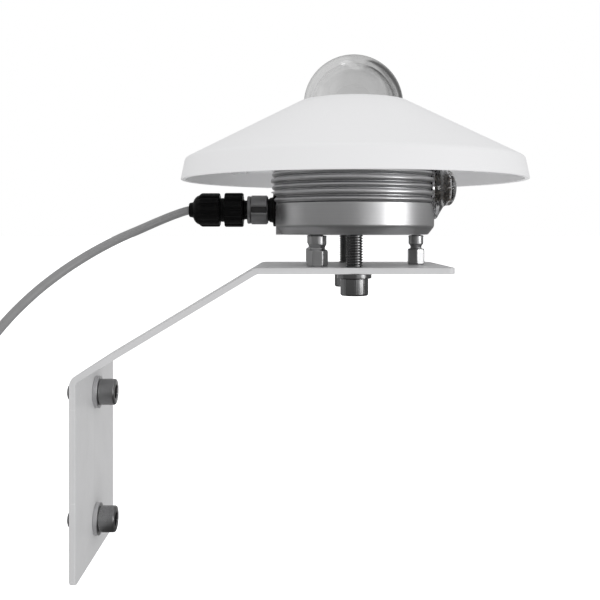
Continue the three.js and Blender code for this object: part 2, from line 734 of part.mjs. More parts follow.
// ---- cable: out of the gland, over in a low arch, down beside the plate to its tied coil ----
const GLAND_Z = BODY_BASE + PORT_HEIGHT;
const cableRoute = [
  [63, 0, GLAND_Z],
  [56, 0, GLAND_Z],
  [50, 0, 123.4],
  [43, -2.2, 121.1],
  [36, -6, 118],
  [27.7, -13, 113.8],
  [19.8, -21, 109.7],
  [12.3, -29.5, 105.1],
  [5.2, -38, 100],
  [-2, -45.5, 94.2],
  [-11, -51.5, 86.2],
  [-21, -57.4, 75.3],
  [-29.5, -60.2, 64],
  [-36.2, -60, 52.5],
  [-41, -57.5, 40.5],
  [-44.1, -53.5, 29],
  [-45.3, -49.2, 18.1],
  [-45.4, -45.3, 8.8],
  [-45.4, -41.6, -0.5],
];
function cableTube() {
  const curve = new THREE.CatmullRomCurve3(
    cableRoute.map((point) => new THREE.Vector3(...point)),
    false,
    "centripetal",
  );
  const section = new THREE.Shape();
  section.absarc(0, 0, CABLE_RADIUS, 0, 2 * Math.PI);
  const outline = new THREE.Shape(section.getPoints(CABLE_SIDES / 2).slice(0, -1));
  const options = { steps: CABLE_STEPS, extrudePath: curve, curveSegments: 1 };
  return new THREE.ExtrudeGeometry(outline, options);
}
add("cable", cableTube(), CABLE_GREY);

// the coil: a ring of turns with its axis along X
const coilIn = COIL_RADIUS - COIL_DEPTH / 2;
const coilOut = COIL_RADIUS + COIL_DEPTH / 2;
const coilHalf = COIL_WIDTH / 2;
const coilProfile = [
  [coilIn + COIL_CORNER, -coilHalf],
  [coilOut - COIL_CORNER, -coilHalf],
  [coilOut, COIL_CORNER - coilHalf],
  [coilOut, coilHalf - COIL_CORNER],
  [coilOut - COIL_CORNER, coilHalf],
  [coilIn + COIL_CORNER, coilHalf],
  [coilIn, coilHalf - COIL_CORNER],
  [coilIn, COIL_CORNER - coilHalf],
];
const coil = new THREE.Group();
coil.position.copy(COIL_CENTRE);
root.add(coil);
add("cable_coil", turnedAlongX(coilProfile, MEDIUM), CABLE_GREY, coil);

// ties around the bundle, above and below
function tie() {
  const x = coilHalf + GAP;
  const low = coilIn - GAP - 0.6;
  const high = coilOut + GAP;
  const thick = TIE_THICKNESS;
  const half = TIE_WIDTH / 2;
  const outer = solid(block(-x - thick, x + thick, -half, half, low - thick, high + thick));
  const inner = solid(block(-x, x, -TIE_WIDTH, TIE_WIDTH, low, high));
  return geometryOf(outer.subtract(inner));
}
add("upper_coil_tie", tie(), BLACK_PLASTIC, coil);
add("lower_coil_tie", tie(), BLACK_PLASTIC, coil).rotation.x = Math.PI;

// the free end: a shrink sleeve and four stripped leads, hanging below the coil's side
function leads() {
  let end = solid(rod(2.7, -34, -20, COARSE));
  for (let i = 0; i < LEAD_COUNT; i += 1) {
    const [x, y] = onCircle(1.6, Math.PI / 4 + (i * 2 * Math.PI) / LEAD_COUNT);
    end = end.add(solid(rod(0.75, -56, -33, 8).translate(x, y, 0)));
  }
  return geometryOf(end);
}
const leadEnd = add("cable_leads", leads(), CABLE_GREY, coil);
leadEnd.position.set(-10.6, COIL_RADIUS + 8.5, 0);

export default root;
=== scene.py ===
import random
from math import ceil, copysign, cos, hypot, pi, radians, sin, tan

import bmesh
import bpy
from mathutils import Matrix, Vector


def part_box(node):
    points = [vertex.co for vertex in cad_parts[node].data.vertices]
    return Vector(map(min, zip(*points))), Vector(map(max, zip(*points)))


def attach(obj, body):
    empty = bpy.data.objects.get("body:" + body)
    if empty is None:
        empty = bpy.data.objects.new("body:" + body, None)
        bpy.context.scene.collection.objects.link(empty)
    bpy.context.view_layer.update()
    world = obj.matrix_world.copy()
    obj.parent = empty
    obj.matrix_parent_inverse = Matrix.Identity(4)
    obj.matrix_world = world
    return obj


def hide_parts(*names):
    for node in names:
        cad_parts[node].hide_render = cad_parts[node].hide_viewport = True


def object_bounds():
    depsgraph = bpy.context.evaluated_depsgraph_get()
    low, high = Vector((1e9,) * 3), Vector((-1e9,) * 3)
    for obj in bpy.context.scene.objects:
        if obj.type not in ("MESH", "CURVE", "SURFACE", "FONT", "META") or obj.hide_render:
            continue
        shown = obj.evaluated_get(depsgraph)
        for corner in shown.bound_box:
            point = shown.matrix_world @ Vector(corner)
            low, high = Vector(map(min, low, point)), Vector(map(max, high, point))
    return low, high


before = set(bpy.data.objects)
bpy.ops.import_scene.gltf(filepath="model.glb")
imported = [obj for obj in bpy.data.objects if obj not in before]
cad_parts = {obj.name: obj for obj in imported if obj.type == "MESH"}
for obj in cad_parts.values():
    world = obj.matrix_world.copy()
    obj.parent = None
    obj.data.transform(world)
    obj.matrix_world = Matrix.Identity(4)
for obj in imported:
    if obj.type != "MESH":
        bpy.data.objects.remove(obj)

# A pyranometer on its mast bracket. Shapes are drawn in millimetres and built in metres.
MM = 0.001
CAD_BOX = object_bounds()
scene = bpy.context.scene


# ---- places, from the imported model
def low(node):
    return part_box(node)[0] / MM


def high(node):
    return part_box(node)[1] / MM


def centre(node):
    return (low(node) + high(node)) / 2


def half_width(node):
    return (high(node).x - low(node).x) / 2


def heights(node):
    """A node's foot and top above the body's base."""
    return low(node).z - BASE, high(node).z - BASE


def x_span(node):
    """A node's near and far end along X, from the body's axis."""
    return low(node).x - AXIS_X, high(node).x - AXIS_X


def on_node(node, z):
    """The place on a node's own upright axis at the height z."""
    middle = centre(node)
    return Matrix.Translation((middle.x, middle.y, z))


def along_x(x, z, way=1):
    """A place in the middle plane whose Z axis points along X, or against it."""
    return Matrix.Translation((x, 0, z)) @ Matrix.Rotation(way * pi / 2, 4, "Y")


AXIS_X = centre("sun_shield").x
BASE = low("body_housing").z
PORT_Z = centre("coupling_ring").z
HOLDER_Z = centre("desiccant_cap").z

IN_BODY = Matrix.Translation((AXIS_X, 0, BASE))
TO_PORT = along_x(AXIS_X, PORT_Z, -1)
TO_HOLDER = along_x(AXIS_X, HOLDER_Z)


def placed(name, data):
    """A new object in the scene."""
    obj = bpy.data.objects.new(name, data)
    scene.collection.objects.link(obj)
    return obj


# ---- camera
def make_camera():
    data = bpy.data.cameras.new("camera")
    data.sensor_width = 36
    data.lens = 51.2
    data.shift_y = -0.116
    data.clip_start = 0.02
    camera = placed("camera", data)
    camera.location = (0.1058, -0.430, 0.1133)
    camera.rotation_euler = (pi / 2, 0, 0)
    scene.camera = camera


make_camera()


# ---- mesh tools
def clean(obj):
    """Merges what meets, drops what has no area and turns the faces outwards."""
    nearest = 0.002 * MM
    mesh = bmesh.new()
    mesh.from_mesh(obj.data)
    bmesh.ops.remove_doubles(mesh, verts=mesh.verts, dist=nearest)
    bmesh.ops.dissolve_degenerate(mesh, edges=mesh.edges, dist=nearest)
    bmesh.ops.recalc_face_normals(mesh, faces=mesh.faces)
    mesh.to_mesh(obj.data)
    mesh.free()


def current_mesh(obj):
    """The mesh of an object as it is shown."""
    ready = obj.evaluated_get(bpy.context.evaluated_depsgraph_get())
    return bpy.data.meshes.new_from_object(ready)


def from_mesh(name, mesh):
    """The object that holds a finished bmesh."""
    data = bpy.data.meshes.new(name)
    mesh.to_mesh(data)
    mesh.free()
    return placed(name, data)


def apply_changes(obj):
    """Makes the modifiers' result the object's own mesh."""
    mesh = current_mesh(obj)
    obj.modifiers.clear()
    old = obj.data
    obj.data = mesh
    bpy.data.meshes.remove(old)


def smooth(obj, degrees=32):
    """Smooth shading with sharp edges, in which large faces keep their own direction."""
    obj.data.shade_smooth()
    obj.data.set_sharp_from_angle(angle=radians(degrees))
    change = obj.modifiers.new("weighted", "WEIGHTED_NORMAL")
    change.keep_sharp = True
    apply_changes(obj)


def build(name, shape, place, degrees=32):
    """A shape, which is its corners and its faces, as a smooth object at a place."""
    verts, faces = shape
    data = bpy.data.meshes.new(name)
    data.from_pydata([tuple((place @ Vector(v)) * MM) for v in verts], [], faces)
    obj = placed(name, data)
    clean(obj)
    smooth(obj, degrees)
    return obj


def finish_piece(obj, body, slot, material, *nodes):
    """Gives a piece its body and material, and lets it stand for CAD nodes. The slot is not used."""
    obj.data.materials.clear()
    for one in material if isinstance(material, list) else [material]:
        obj.data.materials.append(one)
    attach(obj, body)
    if nodes:
        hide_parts(*nodes)
    return obj


def stand_in(node_name, shape, at, slot, material, body="base", degrees=32):
    """A fine piece in the place of one CAD node."""
    return finish_piece(build(f"fine_{node_name}", shape, at, degrees), body, slot, material, node_name)


def gather(*shapes):
    """Several shapes as one."""
    verts, faces = [], []
    for more_verts, more_faces in shapes:
        start = len(verts)
        verts.extend(more_verts)
        faces.extend([[v + start for v in face] for face in more_faces])
    return verts, faces


def moved(shape, matrix):
    return [tuple(matrix @ Vector(v)) for v in shape[0]], shape[1]


def spun(profile, sides=96, loop=False):
    """A profile of (radius, height) turned about Z. A radius may be a function of the angle."""
    verts, rings = [], []
    for radius, z in profile:
        if not callable(radius) and radius < 1e-6:
            rings.append([len(verts)] * sides)
            verts.append((0, 0, z))
            continue
        rings.append(list(range(len(verts), len(verts) + sides)))
        for i in range(sides):
            turn = 2 * pi * i / sides
            r = radius(turn) if callable(radius) else radius
            verts.append((*on_circle(r, turn), z))
    pairs = list(zip(rings, rings[1:]))
    if loop:
        pairs.append((rings[-1], rings[0]))
    faces = []
    for a, b in pairs:
        for i in range(sides):
            j = (i + 1) % sides
            face = list(dict.fromkeys((a[i], a[j], b[j], b[i])))
            if len(face) > 2:
                faces.append(face)
    return verts, faces


def softened(points, cut=0.3, steps=3, loop=False):
    """The outline with its corners rounded. A third number in a point is its own corner size."""
    out = []
    last = len(points) - 1
    for i, point in enumerate(points):
        here = Vector(point[:2])
        size = point[2] if len(point) > 2 else cut
        if size <= 0 or (not loop and i in (0, last)):
            out.append(tuple(here))
            continue
        back = Vector(points[i - 1][:2]) - here
        on = Vector(points[(i + 1) % len(points)][:2]) - here
        start = here + back.normalized() * min(size, 0.45 * back.length)
        end = here + on.normalized() * min(size, 0.45 * on.length)
        for k in range(steps + 1):
            t = k / steps
            out.append(tuple(start * (1 - t) ** 2 + here * 2 * t * (1 - t) + end * t * t))
    return out


def hexed(apothem, turn=0.0):
    """A hexagon's radius at each angle, with a corner at the angle turn."""
    sixth = pi / 3
    return lambda t: apothem / cos(((t - turn) % sixth) - sixth / 2)


def capped(shape, radius):
    """The radius at each angle, cut back to a circle: a chamfered corner."""
    return lambda t: min(shape(t), radius)


def ribs(valley, tip, count, width=0.55, turn=0.0):
    """Rounded ribs: a radius that rises from the valley to the tip count times round."""

    def radius(t):
        phase = ((t - turn) * count / (2 * pi)) % 1
        off = abs(phase - 0.5) / (width / 2)
        rise = max(0.0, 1 - off**6) if off < 1 else 0.0
        return valley + (tip - valley) * rise**0.5

    return radius


def threaded(radius, pitch, start, end, depth, sides=48):
    """A helical thread between two heights, closed by flat ends."""
    shape = (0.0, 0.0, 1.0, 0.8)
    steps = len(shape)
    rows = (ceil((end - start) / pitch) + 2) * steps
    verts = []
    for k in range(rows + 1):
        for i in range(sides):
            z = start - pitch + (k / steps + i / sides) * pitch
            turn = 2 * pi * i / sides
            inside = start < z < end
            r = radius - depth * (shape[k % steps] if inside else 1)
            verts.append((*on_circle(r, turn), min(max(z, start), end)))
    faces = []
    for k in range(rows - steps):
        for i in range(sides):
            a = k * sides + i
            b = a + 1 if i < sides - 1 else (k + steps) * sides
            faces.append([a, b, b + sides, a + sides])
    root = radius - depth
    tip = 0.6 * depth
    ends = gather(
        spun([(0, start), (root, start)], sides),
        spun([(root, end), (root - tip, end + tip), (0, end + tip)], sides),
    )
    return gather((verts, faces), ends)


def bands(rows, sides, loop=False):
    """Faces between each row of corners and the next, and in a loop from the last to the first."""
    faces = []
    for row in range(rows if loop else rows - 1):
        a = row * sides
        b = (row + 1) % rows * sides
        for i in range(sides):
            j = (i + 1) % sides
            faces.append([a + i, a + j, b + j, b + i])
    return faces


def closed(rows, sides):
    """Bands with a face at each end."""
    first, last = list(range(sides)), list(range((rows - 1) * sides, rows * sides))
    return [*bands(rows, sides), first[::-1], last]


def prism(outline, low_z, high_z):
    """A closed outline of (x, y) raised along Z."""
    verts = [(x, y, z) for z in (low_z, high_z) for x, y in outline]
    return verts, closed(2, len(outline))


def brick(x0, x1, y0, y1, z0, z1):
    return prism([(x0, y0), (x1, y0), (x1, y1), (x0, y1)], z0, z1)


def rod(radius, start, end, sides=48, edge=0.15):
    return spun(softened([(0, start), (radius, start), (radius, end), (0, end)], edge), sides)


def on_circle(radius, angle):
    return radius * cos(angle), radius * sin(angle)


def add_line(curve, points, closed=False):
    """Straight pieces from point to point in a curve."""
    line = curve.splines.new("POLY")
    line.points.add(len(points) - 1)
    line.use_cyclic_u = closed
    for point, place in zip(line.points, points):
        point.co = (*place, 1)
    return line


def combine(obj, shapes, place, operation="DIFFERENCE"):
    """Cuts shapes out of a piece, or adds them to it."""
    for shape in shapes:
        other = build("other", shape, place)
        change = obj.modifiers.new("combine", "BOOLEAN")
        change.operation = operation
        change.solver = "EXACT"
        change.object = other
        apply_changes(obj)
        bpy.data.objects.remove(other)


# ---- material tools
def node(tree, kind, inputs=(), **settings):
    """A shader node; an input is a value or another node's output."""
    made = tree.nodes.new("ShaderNode" + kind)
    for key, value in settings.items():
        setattr(made, key, value)
    for key, value in dict(inputs).items():
        if isinstance(value, bpy.types.NodeSocket):
            tree.links.new(value, made.inputs[key])
        else:
            made.inputs[key].default_value = value
    return made


def grey_ramp(tree, value, stops):
    """A ramp of greys; each stop is (position, tone)."""
    made = node(tree, "ValToRGB", {"Fac": value})
    points = made.color_ramp.elements
    while len(points) < len(stops):
        points.new(0.5)
    for point, (position, tone) in zip(points, stops):
        point.position = position
        point.color = (tone, tone, tone, 1)
    return made.outputs["Color"]


def map_range(tree, value, from_low, from_high, to_low=0.0, to_high=1.0, **settings):
    inputs = {"Value": value, "From Min": from_low, "From Max": from_high}
    inputs.update({"To Min": to_low, "To Max": to_high})
    return node(tree, "MapRange", inputs, **settings).outputs["Result"]


def mixed(tree, share, under, over):
    return node(tree, "Mix", {0: share, 6: under, 7: over}, data_type="RGBA").outputs[2]


class Look:
    """A material under construction: a Principled surface and a few ways to give it detail."""

    def __init__(self, name, colour, rough, metal=0.0, **sockets):
        self.material = bpy.data.materials.new(name)
        self.material.use_nodes = True
        self.tree = self.material.node_tree
        self.surface = self.tree.nodes["Principled BSDF"]
        self.colour = (*colour, 1)
        self.rough = rough
        self.height = None
        sockets.update(Base_Color=self.colour, Roughness=rough, Metallic=metal)
        for key, value in sockets.items():
            self.surface.inputs[key.replace("_", " ")].default_value = value
        self.place = node(self.tree, "TexCoord").outputs["Object"]

    def noise(self, scale, detail, stretch=(1.0, 1.0, 1.0), lift=0.6):
        mapping = node(self.tree, "Mapping", {"Vector": self.place, "Scale": stretch})
        inputs = {"Vector": mapping.outputs[0], "Scale": scale, "Detail": detail, "Roughness": lift}
        return node(self.tree, "TexNoise", inputs).outputs["Fac"]

    def tint(self, value, start, end, colour, share):
        """Lays a colour over the base: nothing where the value is start, its share of it from end on."""
        amount = map_range(self.tree, value, start, end, 0.0, share)
        base = self.surface.inputs["Base Color"]
        under = base.links[0].from_socket if base.is_linked else self.colour
        self.tree.links.new(mixed(self.tree, amount, under, (*colour, 1)), base)

    def vary_roughness(self, value, spread):
        rough = map_range(self.tree, value, 0.25, 0.75, self.rough - spread, self.rough + spread)
        self.tree.links.new(rough, self.surface.inputs["Roughness"])

    def bump(self, value, depth_mm):
        inputs = {"Height": value, "Distance": depth_mm * MM, "Strength": 1.0}
        made = node(self.tree, "Bump", inputs)
        if self.height is not None:
            self.tree.links.new(self.height, made.inputs["Normal"])
        self.height = made.outputs["Normal"]
        self.tree.links.new(self.height, self.surface.inputs["Normal"])

    def edges(self, colour, share):
        """Tints the edges by the surface's own sharpness: paint wear there, and a painted highlight along
        them.
        """
        edge_wear_and_highlight = node(self.tree, "NewGeometry").outputs["Pointiness"]
        self.tint(edge_wear_and_highlight, 0.52, 0.6, colour, share)


def grey(value):
    return (value, value, value * 1.01)


def painted():
    look = Look("light_grey_powder_paint", grey(0.66), 0.46, Coat_Weight=0.15, Coat_Roughness=0.3)
    patches = look.noise(38.0, 5.0)
    look.tint(patches, 0.35, 0.72, grey(0.59), 0.55)
    marks = look.noise(60.0, 6.0, (1.0, 3.0, 0.35))
    look.tint(marks, 0.66, 0.71, grey(0.46), 0.5)
    scratches = look.noise(420.0, 2.0, (0.12, 1.0, 0.9))
    look.tint(scratches, 0.70, 0.74, grey(0.82), 0.4)
    # lighter edges: paint worn thin there, and a painted highlight along the edges
    look.edges(grey(0.80), 0.2)
    look.vary_roughness(patches, 0.08)
    look.bump(look.noise(1500.0, 2.0), 0.012)
    look.bump(scratches, 0.006)
    return look.material


def turned_metal(name, colour, rough, lines, wear=0.25):
    """Metal cut on a lathe, with fine lines; lines is how the texture is stretched to draw them."""
    look = Look(name, colour, rough, 1.0)
    cuts = look.noise(1.0, 3.0, lines, 0.75)
    look.tint(cuts, 0.3, 0.75, tuple(0.82 * c for c in colour), 0.6)
    smears = look.noise(70.0, 5.0)
    look.tint(smears, 0.5, 0.8, tuple(0.7 * c for c in colour), wear)
    look.vary_roughness(smears, 0.07)
    look.bump(cuts, 0.004)
    return look.material


def plastic(name, colour, rough, grain=0.006, speck=0.15, **sockets):
    look = Look(name, colour, rough, 0.0, **sockets)
    cloud = look.noise(45.0, 6.0)
    look.tint(cloud, 0.45, 0.8, tuple(0.86 * c for c in colour), speck)
    look.vary_roughness(cloud, 0.05)
    look.bump(look.noise(2600.0, 2.0), grain)
    return look.material


def glass(name, colour, smudge=0.05, **sockets):
    look = Look(name, colour, 0.0, 0.0, Transmission_Weight=1.0, **sockets)
    film = look.noise(90.0, 7.0)
    rough = map_range(look.tree, film, 0.52, 0.8, 0.0, smudge)
    look.tree.links.new(rough, look.surface.inputs["Roughness"])
    dust = look.noise(900.0, 2.0)
    look.tint(dust, 0.72, 0.76, grey(0.55), 0.35)
    return look.material


ROUND_Z = (6.0, 6.0, 4200.0)  # lines round a vertical axis
ROUND_X = (4200.0, 6.0, 6.0)
PAINT = painted()
ALUMINIUM = turned_metal("anodised_aluminium", grey(0.62), 0.38, ROUND_Z)
STEEL_Z = turned_metal("turned_steel", grey(0.44), 0.31, ROUND_Z, 0.35)
DARK_STEEL = turned_metal("oiled_screw_steel", grey(0.20), 0.22, ROUND_Z, 0.2)
WASHER_STEEL = turned_metal("plated_washer_steel", grey(0.68), 0.42, ROUND_X, 0.3)
STEEL_X = turned_metal("turned_steel_along_x", grey(0.29), 0.30, ROUND_X, 0.45)
RING_METAL = turned_metal("ribbed_ring_metal", grey(0.3), 0.36, ROUND_X, 0.4)
WHITE = plastic("white_shield_plastic", grey(0.87), 0.6, 0.003, 0.05)
WHITE_DISC = plastic("white_sensor_disc", grey(0.8), 0.5)
NYLON = plastic("natural_nylon", (0.74, 0.73, 0.70), 0.55, Subsurface_Weight=0.15)
BLACK = plastic("black_moulded_plastic", grey(0.004), 0.36, 0.006, 0.3, Specular_IOR_Level=0.08)
RUBBER_AND_GROOVE_SHADE = plastic("black_rubber_and_groove_shade", grey(0.022), 0.75, 0.01, 0.4)
ABSORBER = plastic("matt_black_coating", grey(0.008), 0.95, 0.02, 0.3)
DOME_GLASS = glass("dome_glass", (0.995, 0.995, 0.995), 0.03, IOR=1.47)
VIAL_GLASS = glass("vial_fluid", (0.80, 0.92, 0.70), 0.02, IOR=1.4)
SMOKED = glass("smoked_clear_plastic", grey(0.60), 0.30, IOR=1.42, Specular_IOR_Level=0.35)


def cable_sheath():
    look = Look("grey_cable_sheath", grey(0.27), 0.5)
    scuffs = look.noise(160.0, 5.0)
    look.tint(scuffs, 0.5, 0.75, grey(0.235), 0.6)
    look.vary_roughness(scuffs, 0.08)
    look.bump(look.noise(1400.0, 3.0), 0.003)
    return look.material


def beads_look():
    look = Look("silica_beads", (0.46, 0.40, 0.33), 0.35, Transmission_Weight=0.25)
    tone = look.noise(520.0, 1.0)
    look.tint(tone, 0.4, 0.62, (0.20, 0.17, 0.14), 0.8)
    look.bump(look.noise(2400.0, 2.0), 0.02)
    return look.material


def board_look():
    look = Look("green_circuit_board", (0.03, 0.16, 0.08), 0.4)
    inputs = {"Vector": look.place, "Scale": 240.0, "Mortar Size": 0.08}
    tracks = node(look.tree, "TexBrick", inputs).outputs["Fac"]
    look.tint(tracks, 0.0, 1.0, (0.08, 0.30, 0.15), 0.8)
    look.bump(tracks, 0.03)
    return look.material


CABLE = cable_sheath()
BEADS = beads_look()
BOARD = board_look()


# ---- signal cable, with its coil
CABLE_RADIUS = 2.1
ROUTE = [  # out of the gland, over in a low arch and down to the coil
    (63, 0, 123.6), (56, 0, 123.6), (50, 0, 123.4), (43, -2.2, 121.1), (36, -6, 118), (27.7, -13, 113.8),
    (19.8, -21, 109.7), (12.3, -29.5, 105.1), (5.2, -38, 100), (-2, -45.5, 94.2), (-11, -51.5, 86.2),
    (-21, -57.4, 75.3), (-29.5, -60.2, 64), (-36.2, -60, 52.5), (-41, -57.5, 40.5), (-44.1, -53.5, 29),
    (-45.3, -49.2, 18.1), (-45.4, -45.3, 8.8), (-45.4, -41.6, -0.5),
]
COIL = centre("cable_coil")
COLUMNS = 6
LAYERS = 5
WIRE_PITCH = 4.25
COIL_MIDDLE = 25.2
STEPS_ROUND = 36
ENTRY = radians(22)  # above level, on the coil's +Y side
CROSSING = radians(60)  # the turn in which the wire steps to its next place
COLUMN_X = [COIL.x + WIRE_PITCH * ((COLUMNS - 1) / 2 - k) for k in range(COLUMNS)]
LAYER_R = [COIL_MIDDLE + WIRE_PITCH * ((LAYERS - 1) / 2 - k) for k in range(LAYERS)]
TIE_STRAP = 1.1
TIE_CORNER = 0.45  # below 1, the strap's loop is squarer than an oval
LEADS = centre("cable_leads")
LEADS_TOP = high("cable_leads").z
SLEEVE = 14


def smoothed_through(points, steps=6):
    """Points on a smooth curve through the given ones, spaced as their distances' roots."""
    points = [Vector(p) for p in points]
    ends = [2 * points[0] - points[1], *points, 2 * points[-1] - points[-2]]
    out = []
    for a, b, c, d in zip(ends, ends[1:], ends[2:], ends[3:]):
        t1 = (b - a).length ** 0.5
        t2 = t1 + (c - b).length ** 0.5
        t3 = t2 + (d - c).length ** 0.5
        for k in range(steps):
            t = t1 + (t2 - t1) * k / steps
            ab = a.lerp(b, t / t1)
            bc = b.lerp(c, (t - t1) / (t2 - t1))
            cd = c.lerp(d, (t - t2) / (t3 - t2))
            abc = ab.lerp(bc, t / t2)
            bcd = bc.lerp(cd, (t - t1) / (t3 - t1))
            out.append(abc.lerp(bcd, (t - t1) / (t2 - t1)))
    return [*out, points[-1]]


def coil_points():
    """The wound turns: column by column, inwards and outwards in turn, as a lead is wound."""
    places = []
    for column, x in enumerate(COLUMN_X):
        layers = LAYER_R if column % 2 == 0 else LAYER_R[::-1]
        places.extend((x, r) for r in layers)
    sweep = 2 * pi * (len(places) - 1) + ENTRY
    count = round(sweep / (2 * pi) * STEPS_ROUND)
    points = []
    for i in range(count + 1):
        gone = sweep * i / count
        turn = int(gone // (2 * pi))
        share = min(1.0, (gone - turn * 2 * pi) / CROSSING)
        share = share * share * (3 - 2 * share) if turn else 1.0
        before, here = places[max(turn - 1, 0)], places[turn]
        x = before[0] + (here[0] - before[0]) * share
        r = before[1] + (here[1] - before[1]) * share
        y, z = on_circle(r, ENTRY - gone)
        points.append(Vector((x, COIL.y + y, COIL.z + z)))
    return points


def make_cable():
    coil = coil_points()
    sleeve = Vector((LEADS.x, LEADS.y, LEADS_TOP))
    tail = [
        coil[-1].lerp(sleeve, share) + Vector((0, drift, 0))
        for share, drift in ((0.25, 0.0), (0.5, 0.25), (0.75, 0.3))
    ]
    tail.extend([sleeve, sleeve - Vector((0, 0, 6))])
    free = smoothed_through([*ROUTE, coil[0], coil[1]])[: -6]
    line = [*free, *coil[:-1], *smoothed_through([coil[-1], *tail], 3)]
    data = bpy.data.curves.new("signal_cable", "CURVE")
    data.dimensions = "3D"
    data.bevel_depth = CABLE_RADIUS * MM
    data.bevel_resolution = 4
    data.use_fill_caps = True
    add_line(data, [point * MM for point in line]).use_smooth = True
    return finish_piece(placed("signal_cable", data), "base", "cable_jacket", CABLE, "cable", "cable_coil")


def make_tie(node_name, side):
    """A cable tie round the bundle: a thin strap with rounded corners and its locking head."""
    size = high(node_name) - low(node_name)
    half = size.y / 2
    x_half = size.x / 2 - 0.2
    z_half = size.z / 2 - 0.2
    edge = 0.3  # chamfer of the strap's section
    section = [(0, half - edge), (edge, half), (TIE_STRAP - edge, half), (TIE_STRAP, half - edge)]
    section += [(inset, -y) for inset, y in reversed(section)]
    steps = 72
    verts = []
    for i in range(steps):
        c, s = on_circle(1, 2 * pi * i / steps)
        x = copysign(abs(c) ** TIE_CORNER, c)
        z = copysign(abs(s) ** TIE_CORNER, s)
        verts.extend((x * (x_half - inset), y, z * (z_half - inset)) for inset, y in section)
    strap = (verts, bands(steps, len(section), loop=True))
    head_foot = z_half - 0.4 if side > 0 else -z_half - 3.2
    narrow = Matrix.Diagonal((0.86, 0.86, 1, 1))
    head = moved(rod(3.4, -0.4, 3.6, 48, 0.6), Matrix.Translation((0, 0, head_foot)) @ narrow)
    tail_z = side * (z_half + 1.2)
    tail = brick(3, 9.5, -half + 0.4, half - 0.4, tail_z - 0.5, tail_z + 0.5)
    shape = gather(strap, head, tail)
    return stand_in(node_name, shape, Matrix.Translation(centre(node_name)), "black_plastic", BLACK)


def tube(points, radius, sides=16):
    """A closed round tube along points."""
    verts = []
    points = [Vector(p) for p in points]
    for i, here in enumerate(points):
        along = (points[min(i + 1, len(points) - 1)] - points[max(i - 1, 0)]).normalized()
        side = along.orthogonal().normalized()
        if i and side.dot(last) < 0.9:
            side = (last - along * last.dot(along)).normalized()
        last = side
        up = along.cross(side)
        for k in range(sides):
            c, s = on_circle(radius, 2 * pi * k / sides)
            verts.append(tuple(here + side * c + up * s))
    return verts, closed(len(points), sides)


def make_leads():
    """The free end: a shrink sleeve, then four insulated leads with bare tinned tips."""
    foot = low("cable_leads").z
    reach = foot - LEADS_TOP
    sleeve = [(0, 0), (2.35, 0), (2.7, -2), (2.7, 2 - SLEEVE), (2.1, -SLEEVE), (0, 0.4 - SLEEVE)]
    shapes = [spun(softened(sleeve, 0.5), 48)]
    flare = [(1.0, -13), (1.0, -15), (1.15, -19), (1.35, -24), (1.6, -29), (1.8, reach + 5)]
    for i in range(4):
        x, y = on_circle(1.0, pi / 4 + i * pi / 2)
        shapes.append(tube([(x * k, y * k, z) for k, z in flare], 0.65))
        tip = (x * 1.8, y * 1.8)
        shapes.append(tube([(*tip, reach + 5.5), (*tip, reach)], 0.4))
    leads = build("fine_cable_leads", gather(*shapes), on_node("cable_leads", LEADS_TOP))
    tints = [grey(0.7), grey(0.16), (0.22, 0.12, 0.07), (0.05, 0.16, 0.08)]
    wires = [plastic(f"lead_sheath_{i + 1}", tint, 0.45) for i, tint in enumerate(tints)]
    finish_piece(leads, "base", "cable_jacket", [BLACK, *wires, STEEL_Z], "cable_leads")
    sheaths = {(True, True): 1, (False, True): 2, (False, False): 3, (True, False): 4}
    bare = len(wires) + 1
    for face in leads.data.polygons:
        right = face.center.x > LEADS.x * MM
        back = face.center.y > LEADS.y * MM
        if face.center.z < (foot + 4.9) * MM:
            face.material_index = bare
        elif face.center.z <= (LEADS_TOP - SLEEVE + 0.6) * MM:
            face.material_index = sheaths[right, back]
    return leads


cable = make_cable()
ties = [make_tie("upper_coil_tie", 1), make_tie("lower_coil_tie", -1)]
leads = make_leads()


# ---- bent plate
SHEET = low("upper_bracket_washer").x - 0.3
PLATE_TOP = high("mounting_plate").z
PLATE_FOOT = low("mounting_plate").z
PLATE_REACH = high("mounting_plate").x
PLATE_HALF = high("mounting_plate").y
ARM_ANGLE = radians(31)
ARM_TURN_X = 85.7
BEND_RADIUS = 4.5  # at mid thickness
PLATE_CORNER = 3.2
PLATE_EDGE = 0.45
BODY_SCREW_X = centre("front_body_screw").x
BODY_SCREW_Y = centre("rear_body_screw").y
BRACKET_SCREW_Z = centre("upper_bracket_screw").z


def flat_plate(length, holes):
    """The sheet before it is bent, its length along X, with rounded corners, edges and holes."""
    data = bpy.data.curves.new("flat", "CURVE")
    data.dimensions = "2D"
    data.fill_mode = "BOTH"
    data.extrude = SHEET / 2 - PLATE_EDGE
    data.bevel_depth = PLATE_EDGE
    data.bevel_resolution = 2
    data.offset = -PLATE_EDGE
    outline = []
    r = PLATE_CORNER
    for x, y, start in (
        (length - r, PLATE_HALF - r, 0), (r, PLATE_HALF - r, 90), (r, r - PLATE_HALF, 180),
        (length - r, r - PLATE_HALF, 270),
    ):
        for k in range(9):
            dx, dy = on_circle(r, radians(start + k * 90 / 8))
            outline.append((x + dx, y + dy))
    rings = [outline]
    for x, y, radius in holes:
        ring = [on_circle(radius, -2 * pi * k / 48) for k in range(48)]
        rings.append([(x + dx, y + dy) for dx, dy in ring])
    for ring in rings:
        add_line(data, [(x, y, 0) for x, y in ring], closed=True)
    holder = placed("flat", data)
    mesh = current_mesh(holder)
    bpy.data.objects.remove(holder)
    return mesh


